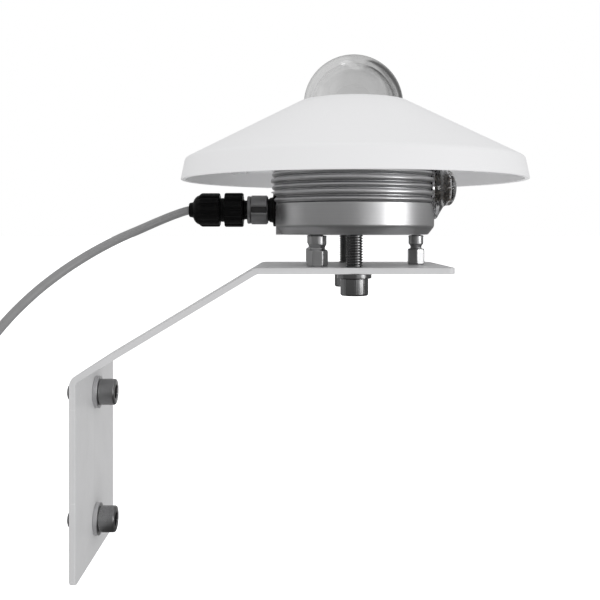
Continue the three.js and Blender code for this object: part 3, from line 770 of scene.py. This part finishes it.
def plate_spans():
    """The sheet from its foot to its far end: its straight stretches, and its bends with their turn."""
    half = SHEET / 2
    lean = pi / 2 - ARM_ANGLE
    turn_z = PLATE_TOP - half - (ARM_TURN_X - half) * tan(ARM_ANGLE)
    low_cut = BEND_RADIUS * tan(lean / 2)
    high_cut = BEND_RADIUS * tan(ARM_ANGLE / 2)
    arm = (ARM_TURN_X - half) / cos(ARM_ANGLE)
    return [
        (turn_z - PLATE_FOOT - low_cut, 0), (BEND_RADIUS * lean, -lean), (arm - low_cut - high_cut, 0),
        (BEND_RADIUS * ARM_ANGLE, -ARM_ANGLE), (PLATE_REACH - ARM_TURN_X - high_cut, 0),
    ]


def bent(u, out, spans):
    """Where the flat sheet's point at u, out from its middle, lies once the sheet is bent."""
    place = Vector((SHEET / 2, PLATE_FOOT))
    heading = pi / 2
    for length, turn in spans:
        here = min(u, length)
        if turn:
            gone = turn * here / length
            pivot = place + Vector(on_circle(BEND_RADIUS, heading - pi / 2))
            place = pivot + Matrix.Rotation(gone, 2) @ (place - pivot)
            heading += gone
        else:
            place += Vector(on_circle(here, heading))
        u -= here
        if u <= 0:
            break
    return place - Vector(on_circle(out, heading - pi / 2))


def make_plate():
    spans = plate_spans()
    length = sum(span[0] for span in spans)
    flat_of_level = length - (PLATE_REACH - BODY_SCREW_X)
    bush_hole = half_width("rear_insulating_bush") + 0.3
    holes = [(flat_of_level, side * BODY_SCREW_Y, bush_hole) for side in (-1, 1)]
    holes += [(side * BRACKET_SCREW_Z - PLATE_FOOT, 0, 4.5) for side in (-1, 1)]
    plate = bmesh.new()
    plate.from_mesh(flat_plate(length, holes))
    start = 0
    for stretch, turn in spans:
        for k in range(11 if turn else 0):
            every = plate.verts[:] + plate.edges[:] + plate.faces[:]
            seam = start + stretch * k / 10
            bmesh.ops.bisect_plane(plate, geom=every, plane_co=(seam, 0, 0), plane_no=(1, 0, 0))
        start += stretch
    for vert in plate.verts:
        x, z = bent(vert.co.x, vert.co.z, spans)
        vert.co = Vector((x, vert.co.y, z)) * MM
    obj = from_mesh("fine_mounting_plate", plate)
    clean(obj)
    smooth(obj, 40)
    return finish_piece(obj, "base", "grey_paint", PAINT, "mounting_plate")


make_plate()


# ---- M8 socket screws, washers, bushes
M8_RADIUS = 4.0
M8_PITCH = 1.25
M8_THREAD = 0.62
HEAD_RADIUS = 6.5
HEAD_HEIGHT = 8.0


def socket_screw(length, plain):
    """Head below zero with its hexagon socket, shank up to length, plain for a stretch."""
    key = hexed(3.2)
    wall = ribs(HEAD_RADIUS - 0.05, HEAD_RADIUS, 48, 0.8)
    head = [
        (0, 0), (HEAD_RADIUS - 0.4, 0), (HEAD_RADIUS - 0.1, -0.2), (wall, -0.5), (wall, 0.8 - HEAD_HEIGHT),
        (HEAD_RADIUS - 0.1, 0.5 - HEAD_HEIGHT), (HEAD_RADIUS - 0.3, 0.15 - HEAD_HEIGHT),
        (HEAD_RADIUS - 0.65, -HEAD_HEIGHT), (capped(hexed(3.5), 3.75), -HEAD_HEIGHT),
        (key, 0.3 - HEAD_HEIGHT), (key, 4.4 - HEAD_HEIGHT), (2.6, 4.6 - HEAD_HEIGHT),
        (0, 5.4 - HEAD_HEIGHT),
    ]
    neck = rod(3.95, -0.5, plain, 48, 0.2)
    thread = threaded(M8_RADIUS, M8_PITCH, max(plain - 0.3, -0.4), length - 0.4, M8_THREAD)
    return gather(spun(head, 192), neck, thread)


def ring_shape(inner, outer, start, end, edge=0.25, sides=96):
    corners = [(inner, start), (outer, start), (outer, end), (inner, end)]
    return spun(softened(corners, edge, loop=True), sides, loop=True)


def washer_shape():
    return ring_shape(4.3, 8.0, -0.25, 1.85)


def make_bracket_fasteners():
    for place in ("upper", "lower"):
        washer = f"{place}_bracket_washer"
        screw = f"{place}_bracket_screw"
        z = centre(washer).z
        stand_in(washer, washer_shape(), along_x(low(washer).x, z), "steel", WASHER_STEEL)
        at = along_x(high(screw).x - HEAD_HEIGHT, z, -1)
        stand_in(screw, socket_screw(16, 1.0), at, "steel", STEEL_X, degrees=28)


def make_body_fasteners():
    for place in ("front", "rear"):
        screw = f"{place}_body_screw"
        washer = f"{place}_body_washer"
        bush = f"{place}_insulating_bush"
        at = on_node(screw, low(screw).z + HEAD_HEIGHT)
        stand_in(screw, socket_screw(30, 0.0), at, "steel", DARK_STEEL, degrees=28)
        stand_in(washer, washer_shape(), on_node(screw, low(washer).z), "steel", DARK_STEEL)
        foot, top = heights(bush)
        shape = ring_shape(4.3, 5.7, 0.1, top - foot - 0.4, 0.3, 72)
        stand_in(bush, shape, on_node(screw, low(bush).z), "nylon", NYLON)


make_bracket_fasteners()
make_body_fasteners()


# ---- instrument body
BODY_RADIUS = 40.3
CHAMFER_HEIGHT = 4.0
CHAMFER_DEPTH = 3.1
FIN_COUNT = 10
FIN_START = 15.3
FIN_PITCH = 3.25
FIN_TIP = half_width("body_housing")
FIN_ROOT = 39.4
RIDGE_DROP = 0.55  # of the rounded ridges below the flat lands
SHOULDER = 49.0
TOWER_RADIUS = 29.8
DECK = high("body_housing").z - BASE
CAVITY_RADIUS = 21.0
CAVITY_TOP = 50.0
RECESS_RADIUS = 26.8
RECESS_HEIGHT = 4.2
SINK_BORE = 9.0
PORT_FACE = -38.6
PORT_HALF_WIDTH = 11.0
PORT_BORE = 5.3
HOLDER_FACE = 37.0
HOLDER_SEAT = 17.0
HOLDER_CHAMBER = 9.3
AIR_HOLE = 1.5


def fin_outline():
    """Turned fins: flat lands with rounded edges, and a lower rounded ridge between each two."""
    points = []
    for i in range(FIN_COUNT):
        z = FIN_START + i * FIN_PITCH
        land = i % 2 == 1
        tip = FIN_TIP if land else FIN_TIP - RIDGE_DROP
        foot = FIN_ROOT + 0.3
        points.append((FIN_ROOT, z + 0.1))
        for k in range(13):
            share = k / 12
            swell = sin(pi * share) ** (0.16 if land else 0.55)
            points.append((foot + (tip - foot) * swell, z + 0.3 + 2.65 * share))
        points.append((FIN_ROOT, z + FIN_PITCH - 0.1))
    return points


def make_body():
    fin_top = FIN_START + FIN_COUNT * FIN_PITCH
    lower = softened([
        (RECESS_RADIUS, RECESS_HEIGHT), (RECESS_RADIUS, 0), (BODY_RADIUS - CHAMFER_DEPTH, 0, 0.5),
        (BODY_RADIUS, CHAMFER_HEIGHT, 0.9), (BODY_RADIUS, FIN_START, 0.25), (FIN_ROOT, FIN_START + 0.1),
    ])
    upper = softened([
        (FIN_ROOT, fin_top), (BODY_RADIUS, fin_top + 0.2, 0.2), (BODY_RADIUS, SHOULDER, 0.6),
        (TOWER_RADIUS, SHOULDER), (TOWER_RADIUS, DECK, 0.4), (SINK_BORE, DECK, 0.2),
        (SINK_BORE, CAVITY_TOP, 0), (CAVITY_RADIUS, CAVITY_TOP, 0), (CAVITY_RADIUS, RECESS_HEIGHT),
    ])
    profile = lower[:-1] + fin_outline() + upper[1:]
    body = build("fine_body_housing", spun(profile, 144, loop=True), IN_BODY, 30)
    wide = PORT_HALF_WIDTH
    combine(body, [brick(-60, PORT_FACE, -wide, wide, -1, 21)], IN_BODY)
    foot = brick(PORT_FACE, -30, -wide, wide, 0, CHAMFER_HEIGHT + 0.5)
    combine(body, [foot], IN_BODY, "UNION")
    to_holder = along_x(0, HOLDER_Z - BASE)
    cuts = [
        moved(rod(HOLDER_SEAT, HOLDER_FACE, 70, 72), to_holder),
        moved(rod(HOLDER_CHAMBER, 27, 40), to_holder),
        moved(rod(AIR_HOLE, CAVITY_RADIUS - 3, 28, 24), to_holder),
        moved(rod(PORT_BORE, 18, 60), along_x(0, PORT_Z - BASE, -1)),
    ]
    for name, radius, depth in (
        ("front_body_screw", 4.25, 13), ("rear_body_screw", 4.25, 13), ("front_levelling_foot", 3.3, 10),
        ("rear_levelling_foot", 3.3, 10), ("fixed_foot", 2.8, 9),
    ):
        hole = spun([(0, -1), (radius + 1.4, -1), (radius, 0.5), (radius, depth), (0, depth + 1)], 48)
        middle = centre(name)
        cuts.append(moved(hole, Matrix.Translation((middle.x - AXIS_X, middle.y, 0))))
    combine(body, cuts, IN_BODY)
    clean(body)
    smooth(body, 30)
    return finish_piece(body, "base", "aluminium", ALUMINIUM, "body_housing")


make_body()


COVER_SCREWS = [f"base_cover_screw_{i + 1}" for i in range(3)]


def make_base_cover():
    radius = half_width("base_cover")
    tall = heights("base_cover")[1] - heights("base_cover")[0]
    disc = spun(softened([
        (0, 0.5, 0), (13, 0.5, 0.2), (13.6, 0, 0.2), (radius, 0, 0.4), (radius, tall), (0, tall),
    ]), 128)
    cover = build("fine_base_cover", disc, IN_BODY)
    spot = spun([(0, -1), (2.6, -1), (2.6, 1.5), (1.7, 1.5), (1.7, 5), (0, 5)], 40)
    for name in COVER_SCREWS:
        combine(cover, [spot], on_node(name, BASE))
    clean(cover)
    smooth(cover, 30)
    return finish_piece(cover, "base", "aluminium", ALUMINIUM, "base_cover")


def make_cover_screws():
    key = hexed(0.95)
    screw = spun([
        (0, 0.7), (key, 0.7), (key, 0.12), (1.5, 0.1), (2.0, 0.2), (2.2, 0.5), (2.2, 1.3), (1.4, 1.35),
        (1.4, 8.2), (1.1, 8.5), (0, 8.5),
    ], 48)
    for name in COVER_SCREWS:
        stand_in(name, screw, on_node(name, BASE), "steel", STEEL_Z)


make_base_cover()
make_cover_screws()


def make_feet():
    """Two levelling feet and the fixed one: a hexagon, a waist, a collar and a thread."""
    for name, flats, waist, collar, shank, turn, body in (
        ("front_levelling_foot", 9, 4.05, 4.4, 3.0, 0, "front_foot"),
        ("rear_levelling_foot", 9, 4.05, 4.4, 3.0, 0, "rear_foot"),
        ("fixed_foot", 8, 3.2, 3.75, 2.5, pi / 6, "base"),
    ):
        foot, top = heights(name)
        half = flats / 2
        hexagon = capped(hexed(half, turn), half * 1.125)
        chamfer = capped(hexagon, half * 1.06)
        profile = [
            (0, foot), (half - 1.3, foot), (half - 1.0, foot - 0.25), (half - 0.2, foot - 0.25),
            (chamfer, foot + 0.1), (hexagon, foot + 0.65), (hexagon, -8.0), (chamfer, -7.4),
            (capped(hexagon, half - 0.1), -7.05), (waist - 0.25, -6.9), (waist - 0.45, -6.2),
            (waist - 0.2, -5.4), (waist, -5.1), (collar - 0.15, -4.75), (collar, -4.4), (collar, -0.8),
            (collar - 0.25, -0.35), (shank, -0.3), (0, -0.3),
        ]
        shape = gather(spun(profile, 96), threaded(shank, 1.0, -0.5, top - 0.3, 0.45, 40))
        stand_in(name, shape, on_node(name, BASE), "steel", STEEL_Z, body, 28)


make_feet()


# ---- domes and sensor
DOME_CENTRE = 65.3


def dome_shape(node_name, wall):
    """A glass half sphere with a short straight foot, which stays inside the ring."""
    lo = heights(node_name)[0]
    radius = half_width(node_name)
    inner = radius - wall
    edge = 0.15
    steps = 32
    outside, inside = [], []
    for k in range(steps):
        across, up = on_circle(1, k * pi / 2 / steps)
        outside.append((radius * across, DOME_CENTRE + radius * up))
        inside.insert(0, (inner * across, DOME_CENTRE + inner * up))
    foot = [(inner, lo + edge), (inner + edge, lo), (radius - edge, lo), (radius, lo + edge)]
    tops = [(0, DOME_CENTRE + radius), (0, DOME_CENTRE + inner)]
    return spun([*foot, *outside, *tops, *inside], 128, loop=True)


def make_domes():
    for name, wall in (("outer_dome", 2.0), ("inner_dome", 0.6)):
        stand_in(name, dome_shape(name, wall), IN_BODY, "dome_glass", DOME_GLASS, degrees=50)
    foot, top = heights("dome_ring")
    outside = half_width("dome_ring")
    ring = softened([
        (25.4, foot), (outside, foot), (outside, top - 1.2, 0.3), (outside - 1.2, top, 0.3),
        (26.2, top, 0.2), (25.4, top - 0.8, 0.2),
    ], 0.2, loop=True)
    stand_in("dome_ring", spun(ring, 144, loop=True), IN_BODY, "aluminium", ALUMINIUM)


def make_sensor():
    """The white disc on its stem, and the black receiver in its middle."""
    foot, top = heights("sensor_heat_sink")
    sink = softened([
        (0, foot), (8.7, foot, 0.3), (8.7, DECK + 0.3, 0), (17.5, DECK + 0.3, 0.2), (17.5, top - 0.8, 0.3),
        (16.6, top, 0.3), (12.2, top, 0.1), (11.9, top - 0.35, 0.1), (11.1, top - 0.35, 0.1),
        (10.8, top, 0.1), (0, top),
    ], 0.2)
    stand_in("sensor_heat_sink", spun(sink, 128), IN_BODY, "white_plastic", WHITE_DISC)
    foot, top = heights("absorber_disc")
    disc = softened([(0, foot), (10, foot, 0.2), (10, top - 0.2, 0.2), (9.6, top, 0.2), (0, top + 0.03)])
    stand_in("absorber_disc", spun(disc, 96), IN_BODY, "absorber_black", ABSORBER)


def make_level():
    """The bubble level: a cup with a collar, a domed vial, its circle and the bubble."""
    at = on_node("level_cup", low("level_cup").z)
    cup = softened([
        (0, 0), (4.4, 0), (4.4, 1.4, 0.1), (4.1, 1.7, 0.1), (4.1, 5.0, 0.1), (4.4, 5.3, 0.1), (4.4, 6.0),
        (3.7, 6.0, 0.2), (3.7, 1.2, 0.1), (0, 1.2),
    ])
    stand_in("level_cup", spun(cup, 72), at, "black_plastic", BLACK)
    vial = softened([(0, 1.5), (3.4, 1.5, 0.2), (3.4, 5.3), (2.2, 5.85, 0.6), (0, 6.1)])
    stand_in("level_vial", spun(vial, 72), at, "dome_glass", VIAL_GLASS)
    mark = build("level_circle", ring_shape(1.55, 1.75, 5.0, 5.06, 0.02, 64), at)
    finish_piece(mark, "base", "black_plastic", BLACK)
    bubble = [(0, 4.3), (0.75, 4.4), (1.2, 4.75), (1.05, 5.1), (0.6, 5.3), (0, 5.35)]
    bubble = build("level_bubble", spun(softened(bubble), 48), at, 60)
    finish_piece(bubble, "base", "dome_glass", DOME_GLASS)


make_domes()
make_sensor()
make_level()


# ---- sun shield
SHIELD_RIM, SHIELD_TOP = heights("sun_shield")
SHIELD_RIM_RADIUS = half_width("sun_shield")
SHIELD_BREAK = 37.4
SHIELD_BREAK_RADIUS = 84.0
SHIELD_TOP_RADIUS = 27.0
SHIELD_HOLE = 25.6
SHIELD_WALL = 2.5
LEG_INNER = 30.4
LEG_OUTER = 32.9
LEG_HALF_ANGLE = radians(18)
RIM_RIB_TURN = radians(22)  # from each leg to its small rib inside the rim


def make_shield():
    slope = (SHIELD_TOP - SHIELD_BREAK) / (SHIELD_BREAK_RADIUS - SHIELD_TOP_RADIUS)
    drop = SHIELD_WALL * hypot(1, slope)

    def under(r):
        return SHIELD_TOP - drop - (r - SHIELD_TOP_RADIUS) * slope

    inner_break = SHIELD_BREAK_RADIUS - SHIELD_WALL
    crest = under(inner_break)
    shell = softened([
        (SHIELD_HOLE, SHIELD_TOP - SHIELD_WALL), (SHIELD_TOP_RADIUS - 0.4, SHIELD_TOP - SHIELD_WALL, 0.5),
        (inner_break, crest, 1.6), (SHIELD_RIM_RADIUS - SHIELD_WALL, SHIELD_RIM, 0.5),
        (SHIELD_RIM_RADIUS, SHIELD_RIM, 0.6), (SHIELD_BREAK_RADIUS, SHIELD_BREAK, 1.3),
        (SHIELD_TOP_RADIUS, SHIELD_TOP, 0.7), (SHIELD_HOLE, SHIELD_TOP),
    ], steps=4, loop=True)
    rib = [
        (inner_break - 11.5, under(inner_break - 11.5) + 0.6), (inner_break - 10.5, crest - 2.4),
        (inner_break - 0.6, crest - 2.4), (inner_break + 0.6, crest - 2.0),
        (inner_break + 0.6, crest + 0.6),
    ]
    shapes = [spun(shell, 216, loop=True)]
    for i in range(3):
        turn = i * 2 * pi / 3
        outline = []
        for radius, way in ((LEG_INNER, 1), (LEG_OUTER, -1)):
            for k in range(13):
                outline.append(on_circle(radius, turn + way * LEG_HALF_ANGLE * (k / 6 - 1)))
        shapes.append(prism(outline, SHOULDER + 0.05, SHIELD_TOP - 4))
        upright = Matrix.Rotation(turn + RIM_RIB_TURN, 4, "Z") @ Matrix.Rotation(pi / 2, 4, "X")
        shapes.append(moved(prism(rib, -0.8, 0.8), upright))
    stand_in("sun_shield", gather(*shapes), IN_BODY, "white_plastic", WHITE, "shield", 35)


make_shield()


# ---- desiccant holder
CAP_START, CAP_END = x_span("desiccant_cap")
CAP_RADIUS = 16.3
CAP_BORE = 7.2
CAP_RISE = 4.2  # of the knob's rounded end
BORE_RISE = 3.2
KNOB_RADIUS = 9
SEAL_CIRCLE = 11.3
BEAD_RADIUS = 1.15


def make_cap():
    face = x_span("desiccant_seal")[0] + 1.3
    crown = CAP_END - CAP_RISE
    knob, hollow = [], []
    for k in range(8):
        across, up = on_circle(1, k * pi / 16)
        knob.append((KNOB_RADIUS * across, crown + CAP_RISE * up))
        hollow.insert(0, (CAP_BORE * across, crown - 1 + BORE_RISE * up))
    neck = softened([
        (CAP_BORE, CAP_START), (8.9, CAP_START), (8.9, face, 0.1), (CAP_RADIUS, face),
        (CAP_RADIUS, face + 1.3), (15.6, face + 3.0, 0.5), (9.9, face + 6.4, 0.8),
        (KNOB_RADIUS, face + 7.6),
    ])
    cap = [(0, crown - 1 + BORE_RISE), *hollow, *neck, *knob[1:], (0, CAP_END)]
    stand_in("desiccant_cap", spun(cap, 120), TO_HOLDER, "smoked_plastic", SMOKED, "desiccant_holder", 40)


def make_cap_seal():
    middle = x_span("desiccant_seal")[0] + 0.5
    profile = []
    for k in range(12):
        across, along = on_circle(0.5, k * pi / 6)
        profile.append((SEAL_CIRCLE + 1.7 * across, middle + along))
    shape = spun(profile, 96, loop=True)
    stand_in("desiccant_seal", shape, TO_HOLDER, "rubber", RUBBER_AND_GROOVE_SHADE, "desiccant_holder", 60)


def make_beads():
    """Drying beads in layers of rings inside the cap's bore."""
    beads = bmesh.new()
    chance = random.Random(7)
    layer = 0
    start, end = x_span("silica_gel")
    x = start + BEAD_RADIUS
    while x < end - BEAD_RADIUS:
        reach = 6.1 if x < CAP_END - CAP_RISE else 4.6
        for ring in range(4):
            radius = reach - ring * 2.15
            if radius < 0.3:
                break
            count = max(1, int(2 * pi * radius / 2.3))
            for k in range(count):
                y, z = on_circle(radius, 2 * pi * k / count + layer * 1.1)
                jitter = Vector([chance.uniform(-0.15, 0.15) for _ in range(3)])
                at = TO_HOLDER @ Matrix.Translation(Vector((y, z, x)) + jitter)
                ball = at @ Matrix.Scale(BEAD_RADIUS * chance.uniform(0.85, 1.0), 4)
                bmesh.ops.create_icosphere(beads, subdivisions=2, radius=1.0, matrix=ball)
        x += 2.0
        layer += 1
    bmesh.ops.scale(beads, vec=(MM, MM, MM), verts=beads.verts)
    gel = from_mesh("fine_silica_gel", beads)
    smooth(gel, 180)
    return finish_piece(gel, "desiccant_holder", "silica_gel", BEADS, "silica_gel")


make_cap()
make_cap_seal()
make_beads()


# ---- connector
def make_socket():
    """The flanged socket in the body, with its four pins."""
    socket = softened([
        (0, 24), (5, 24), (5, 38.9, 0), (8.3, 38.9), (8.3, 40.2, 0.4), (6.4, 40.4, 0.2), (6.1, 42.0, 0.2),
        (5.6, 42.2, 0.1), (5.6, 48.5), (4.5, 48.5, 0.2), (4.5, 41.5, 0.1), (0, 41.5),
    ])
    shapes = [spun(socket, 96)]
    for i in range(4):
        x, y = on_circle(2.2, pi / 4 + i * pi / 2)
        shapes.append(moved(rod(0.5, 41, 47, 16), Matrix.Translation((x, y, 0))))
    stand_in("cable_socket", gather(*shapes), TO_PORT, "black_plastic", BLACK)


def make_coupling_ring():
    """A ring with three wide ribs; the faces at the groove floors between them, and its inner faces, are
    black as painted shade.
    """
    grip = ribs(6.35, 7.3, 3, 0.80, pi / 6)
    ring = [
        (5.9, 43.1), (6.1, 42.9), (6.7, 42.9), (6.85, 43.15), (grip, 43.5), (grip, 51.0), (6.85, 51.35),
        (6.7, 51.6), (6.95, 51.8), (6.95, 52.9), (6.65, 53.2), (5.3, 53.2), (5.1, 53.0), (5.1, 51.6),
        (5.9, 51.6),
    ]
    ring = build("fine_coupling_ring", spun(ring, 192, loop=True), TO_PORT, 28)
    finish_piece(ring, "coupling", "steel", [RING_METAL, RUBBER_AND_GROOVE_SHADE], "coupling_ring")
    # painted shade: faces near the port's axis, at the groove floors and inside the ring, take the black
    # material
    for face in ring.data.polygons:
        if hypot(face.center.y, face.center.z - PORT_Z * MM) < 6.55 * MM:
            face.material_index = 1


def make_plug():
    grip = ribs(8.0, 8.65, 12, 0.74)
    slim = ribs(7.7, 8.25, 12, 0.74)
    plug = [
        (0, 44), (4.0, 44), (4.2, 44.2), (4.2, 49), (5.5, 49), (5.5, 51.3), (4.8, 51.3), (4.8, 54.6),
        (5.6, 55.1), (slim, 55.3), (grip, 55.8), (grip, 64.1), (slim, 64.55), (6.3, 64.7), (6.0, 64.9),
        (6.0, 66.2), (5.85, 66.4), (5.85, 70.8), (5.6, 71), (2.6, 71), (2.6, 62), (0, 62),
    ]
    stand_in("plug_body", spun(plug, 192), TO_PORT, "black_plastic", BLACK, degrees=28)


def make_gland_nut():
    grip = ribs(7.8, 8.45, 12, 0.74, 0.3)
    slim = ribs(7.5, 8.05, 12, 0.74, 0.3)
    nut = [
        (6.3, 66.9), (7.3, 66.9), (slim, 67.05), (grip, 67.5), (grip, 75.8), (slim, 76.7), (7.45, 77.3),
        (6.9, 78.5), (6.1, 79.4), (5.2, 80.0), (4.5, 80.25), (4.2, 80.4), (3.9, 80.7), (3.75, 81.2),
        (3.6, 82.1), (3.3, 82.5), (2.75, 82.5), (2.45, 82.1), (2.35, 78.6), (4.8, 78.6), (4.8, 71.6),
        (6.3, 71.6),
    ]
    stand_in("gland_nut", spun(nut, 192, loop=True), TO_PORT, "black_plastic", BLACK, "gland", 28)


make_socket()
make_coupling_ring()
make_plug()
make_gland_nut()


# ---- inner pieces kept from the CAD
KEPT = {
    "rubber": (RUBBER_AND_GROOVE_SHADE, ["base_gasket", "dome_seal", "gland_seal"]),
    "circuit_board": (BOARD, ["circuit_board"]),
    "nylon": (NYLON, [f"board_spacer_{i + 1}" for i in range(3)]),
}
for slot_name, (material, names) in KEPT.items():
    for name in names:
        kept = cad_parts[name]
        kept.data.materials.clear()
        kept.data.materials.append(material)


# ---- floor, lights, surroundings
FLOOR_Z = CAD_BOX[0].z - 0.12
TARGET = Vector((AXIS_X, 0, BASE + 25)) * MM


def make_floor():
    """A wide pale floor below the part, which is held up by its bracket."""
    mesh = bpy.data.meshes.new("floor")
    size = 40
    corners = [(-size, -size), (size, -size), (size, size), (-size, size)]
    mesh.from_pydata([(x, y, FLOOR_Z) for x, y in corners], [], [(0, 1, 2, 3)])
    floor = placed("floor", mesh)
    glow = {"Emission_Color": (1, 1, 1, 1), "Emission_Strength": 0.72}
    mesh.materials.append(Look("pale_floor", grey(0.8), 0.9, **glow).material)
    floor.visible_glossy = False
    floor.visible_transmission = False
    floor.visible_diffuse = False


def softbox(name, place, width, tall, power, unseen):
    """A rectangular light that faces the body; unseen names the kinds of ray that pass it by."""
    data = bpy.data.lights.new(name, "AREA")
    data.shape = "RECTANGLE"
    data.size = width
    data.size_y = tall
    data.energy = power
    light = placed(name, data)
    light.location = place
    light.rotation_euler = (TARGET - Vector(place)).to_track_quat("-Z", "Y").to_euler()
    light.visible_camera = False
    for kind in unseen:
        setattr(light, f"visible_{kind}", False)


def surroundings():
    """A white studio: bright and even for matt surfaces, darker cards round the polished ones."""
    world = bpy.data.worlds.new("studio")
    world.use_nodes = True
    world.cycles.sampling_method = "NONE"
    scene.world = world
    tree = world.node_tree
    tree.nodes.clear()
    place = node(tree, "TexCoord").outputs["Generated"]
    x, y, z = node(tree, "SeparateXYZ", {"Vector": place}).outputs

    def tones(value, *stops):
        """Greys along one axis of the direction, from -1 to 1."""
        share = map_range(tree, value, -1.0, 1.0)
        return grey_ramp(tree, share, [((at + 1) / 2, tone) for at, tone in stops])

    def rise(value, start, end):
        return map_range(tree, value, start, end, interpolation_type="SMOOTHSTEP")

    def times(a, b):
        return node(tree, "Math", {0: a, 1: b}, operation="MULTIPLY").outputs[0]

    matt = tones(z, (-1, 1.0), (-0.15, 0.95), (0.2, 0.86), (1, 0.88))
    polished = tones(z, (-1, 0.10), (-0.3, 0.13), (0.0, 0.31), (0.25, 0.42), (1, 0.45))
    through = tones(x, (-1, 0.67), (-0.02, 0.63), (0.03, 0.52), (1, 0.51))
    matt = mixed(tree, times(rise(x, 0.3, -1.0), 0.12), matt, (0.35, 0.35, 0.35, 1))
    behind = times(rise(z, -0.05, 0.06), rise(y, -0.1, 0.15))
    card = times(times(rise(x, 0.20, 0.29), behind), rise(x, 0.75, 0.6))
    horizon = times(rise(y, 0.92, 0.985), rise(z, 0.40, 0.05))
    polished = mixed(tree, horizon, polished, (0.9, 0.9, 0.9, 1))
    polished = mixed(tree, times(card, 0.6), polished, (0.02, 0.02, 0.02, 1))
    through = mixed(tree, times(card, 0.85), through, (0.02, 0.02, 0.02, 1))
    rays = node(tree, "LightPath").outputs
    tone = mixed(tree, rays["Is Diffuse Ray"], polished, matt)
    tone = mixed(tree, rays["Is Transmission Ray"], tone, through)
    tone = mixed(tree, rays["Is Camera Ray"], tone, (1, 1, 1, 1))
    shown = node(tree, "Background", {"Color": tone, "Strength": 1.0})
    out = node(tree, "OutputWorld")
    tree.links.new(shown.outputs[0], out.inputs["Surface"])


make_floor()
softbox("key", (1.05, -0.57, 0.20), 0.48, 0.42, 3.7, ["diffuse"])
softbox("key_skirt", (0.68, -0.95, 0.20), 0.7, 0.42, 0.85, ["diffuse"])
softbox("form", (1.00, -0.90, 0.70), 0.8, 0.8, 1.2, ["glossy", "transmission"])
softbox("strip", (0.08, 0.12, 1.40), 0.26, 0.9, 0.95, ["transmission"])
softbox("lamp", (-0.137, 0.27, 1.38), 0.10, 0.10, 0.16, ["transmission"])
softbox("left_glow", (-0.85, 0.15, 0.30), 0.6, 0.9, 0.42, ["diffuse"])
surroundings()
scene.view_settings.view_transform = "Standard"
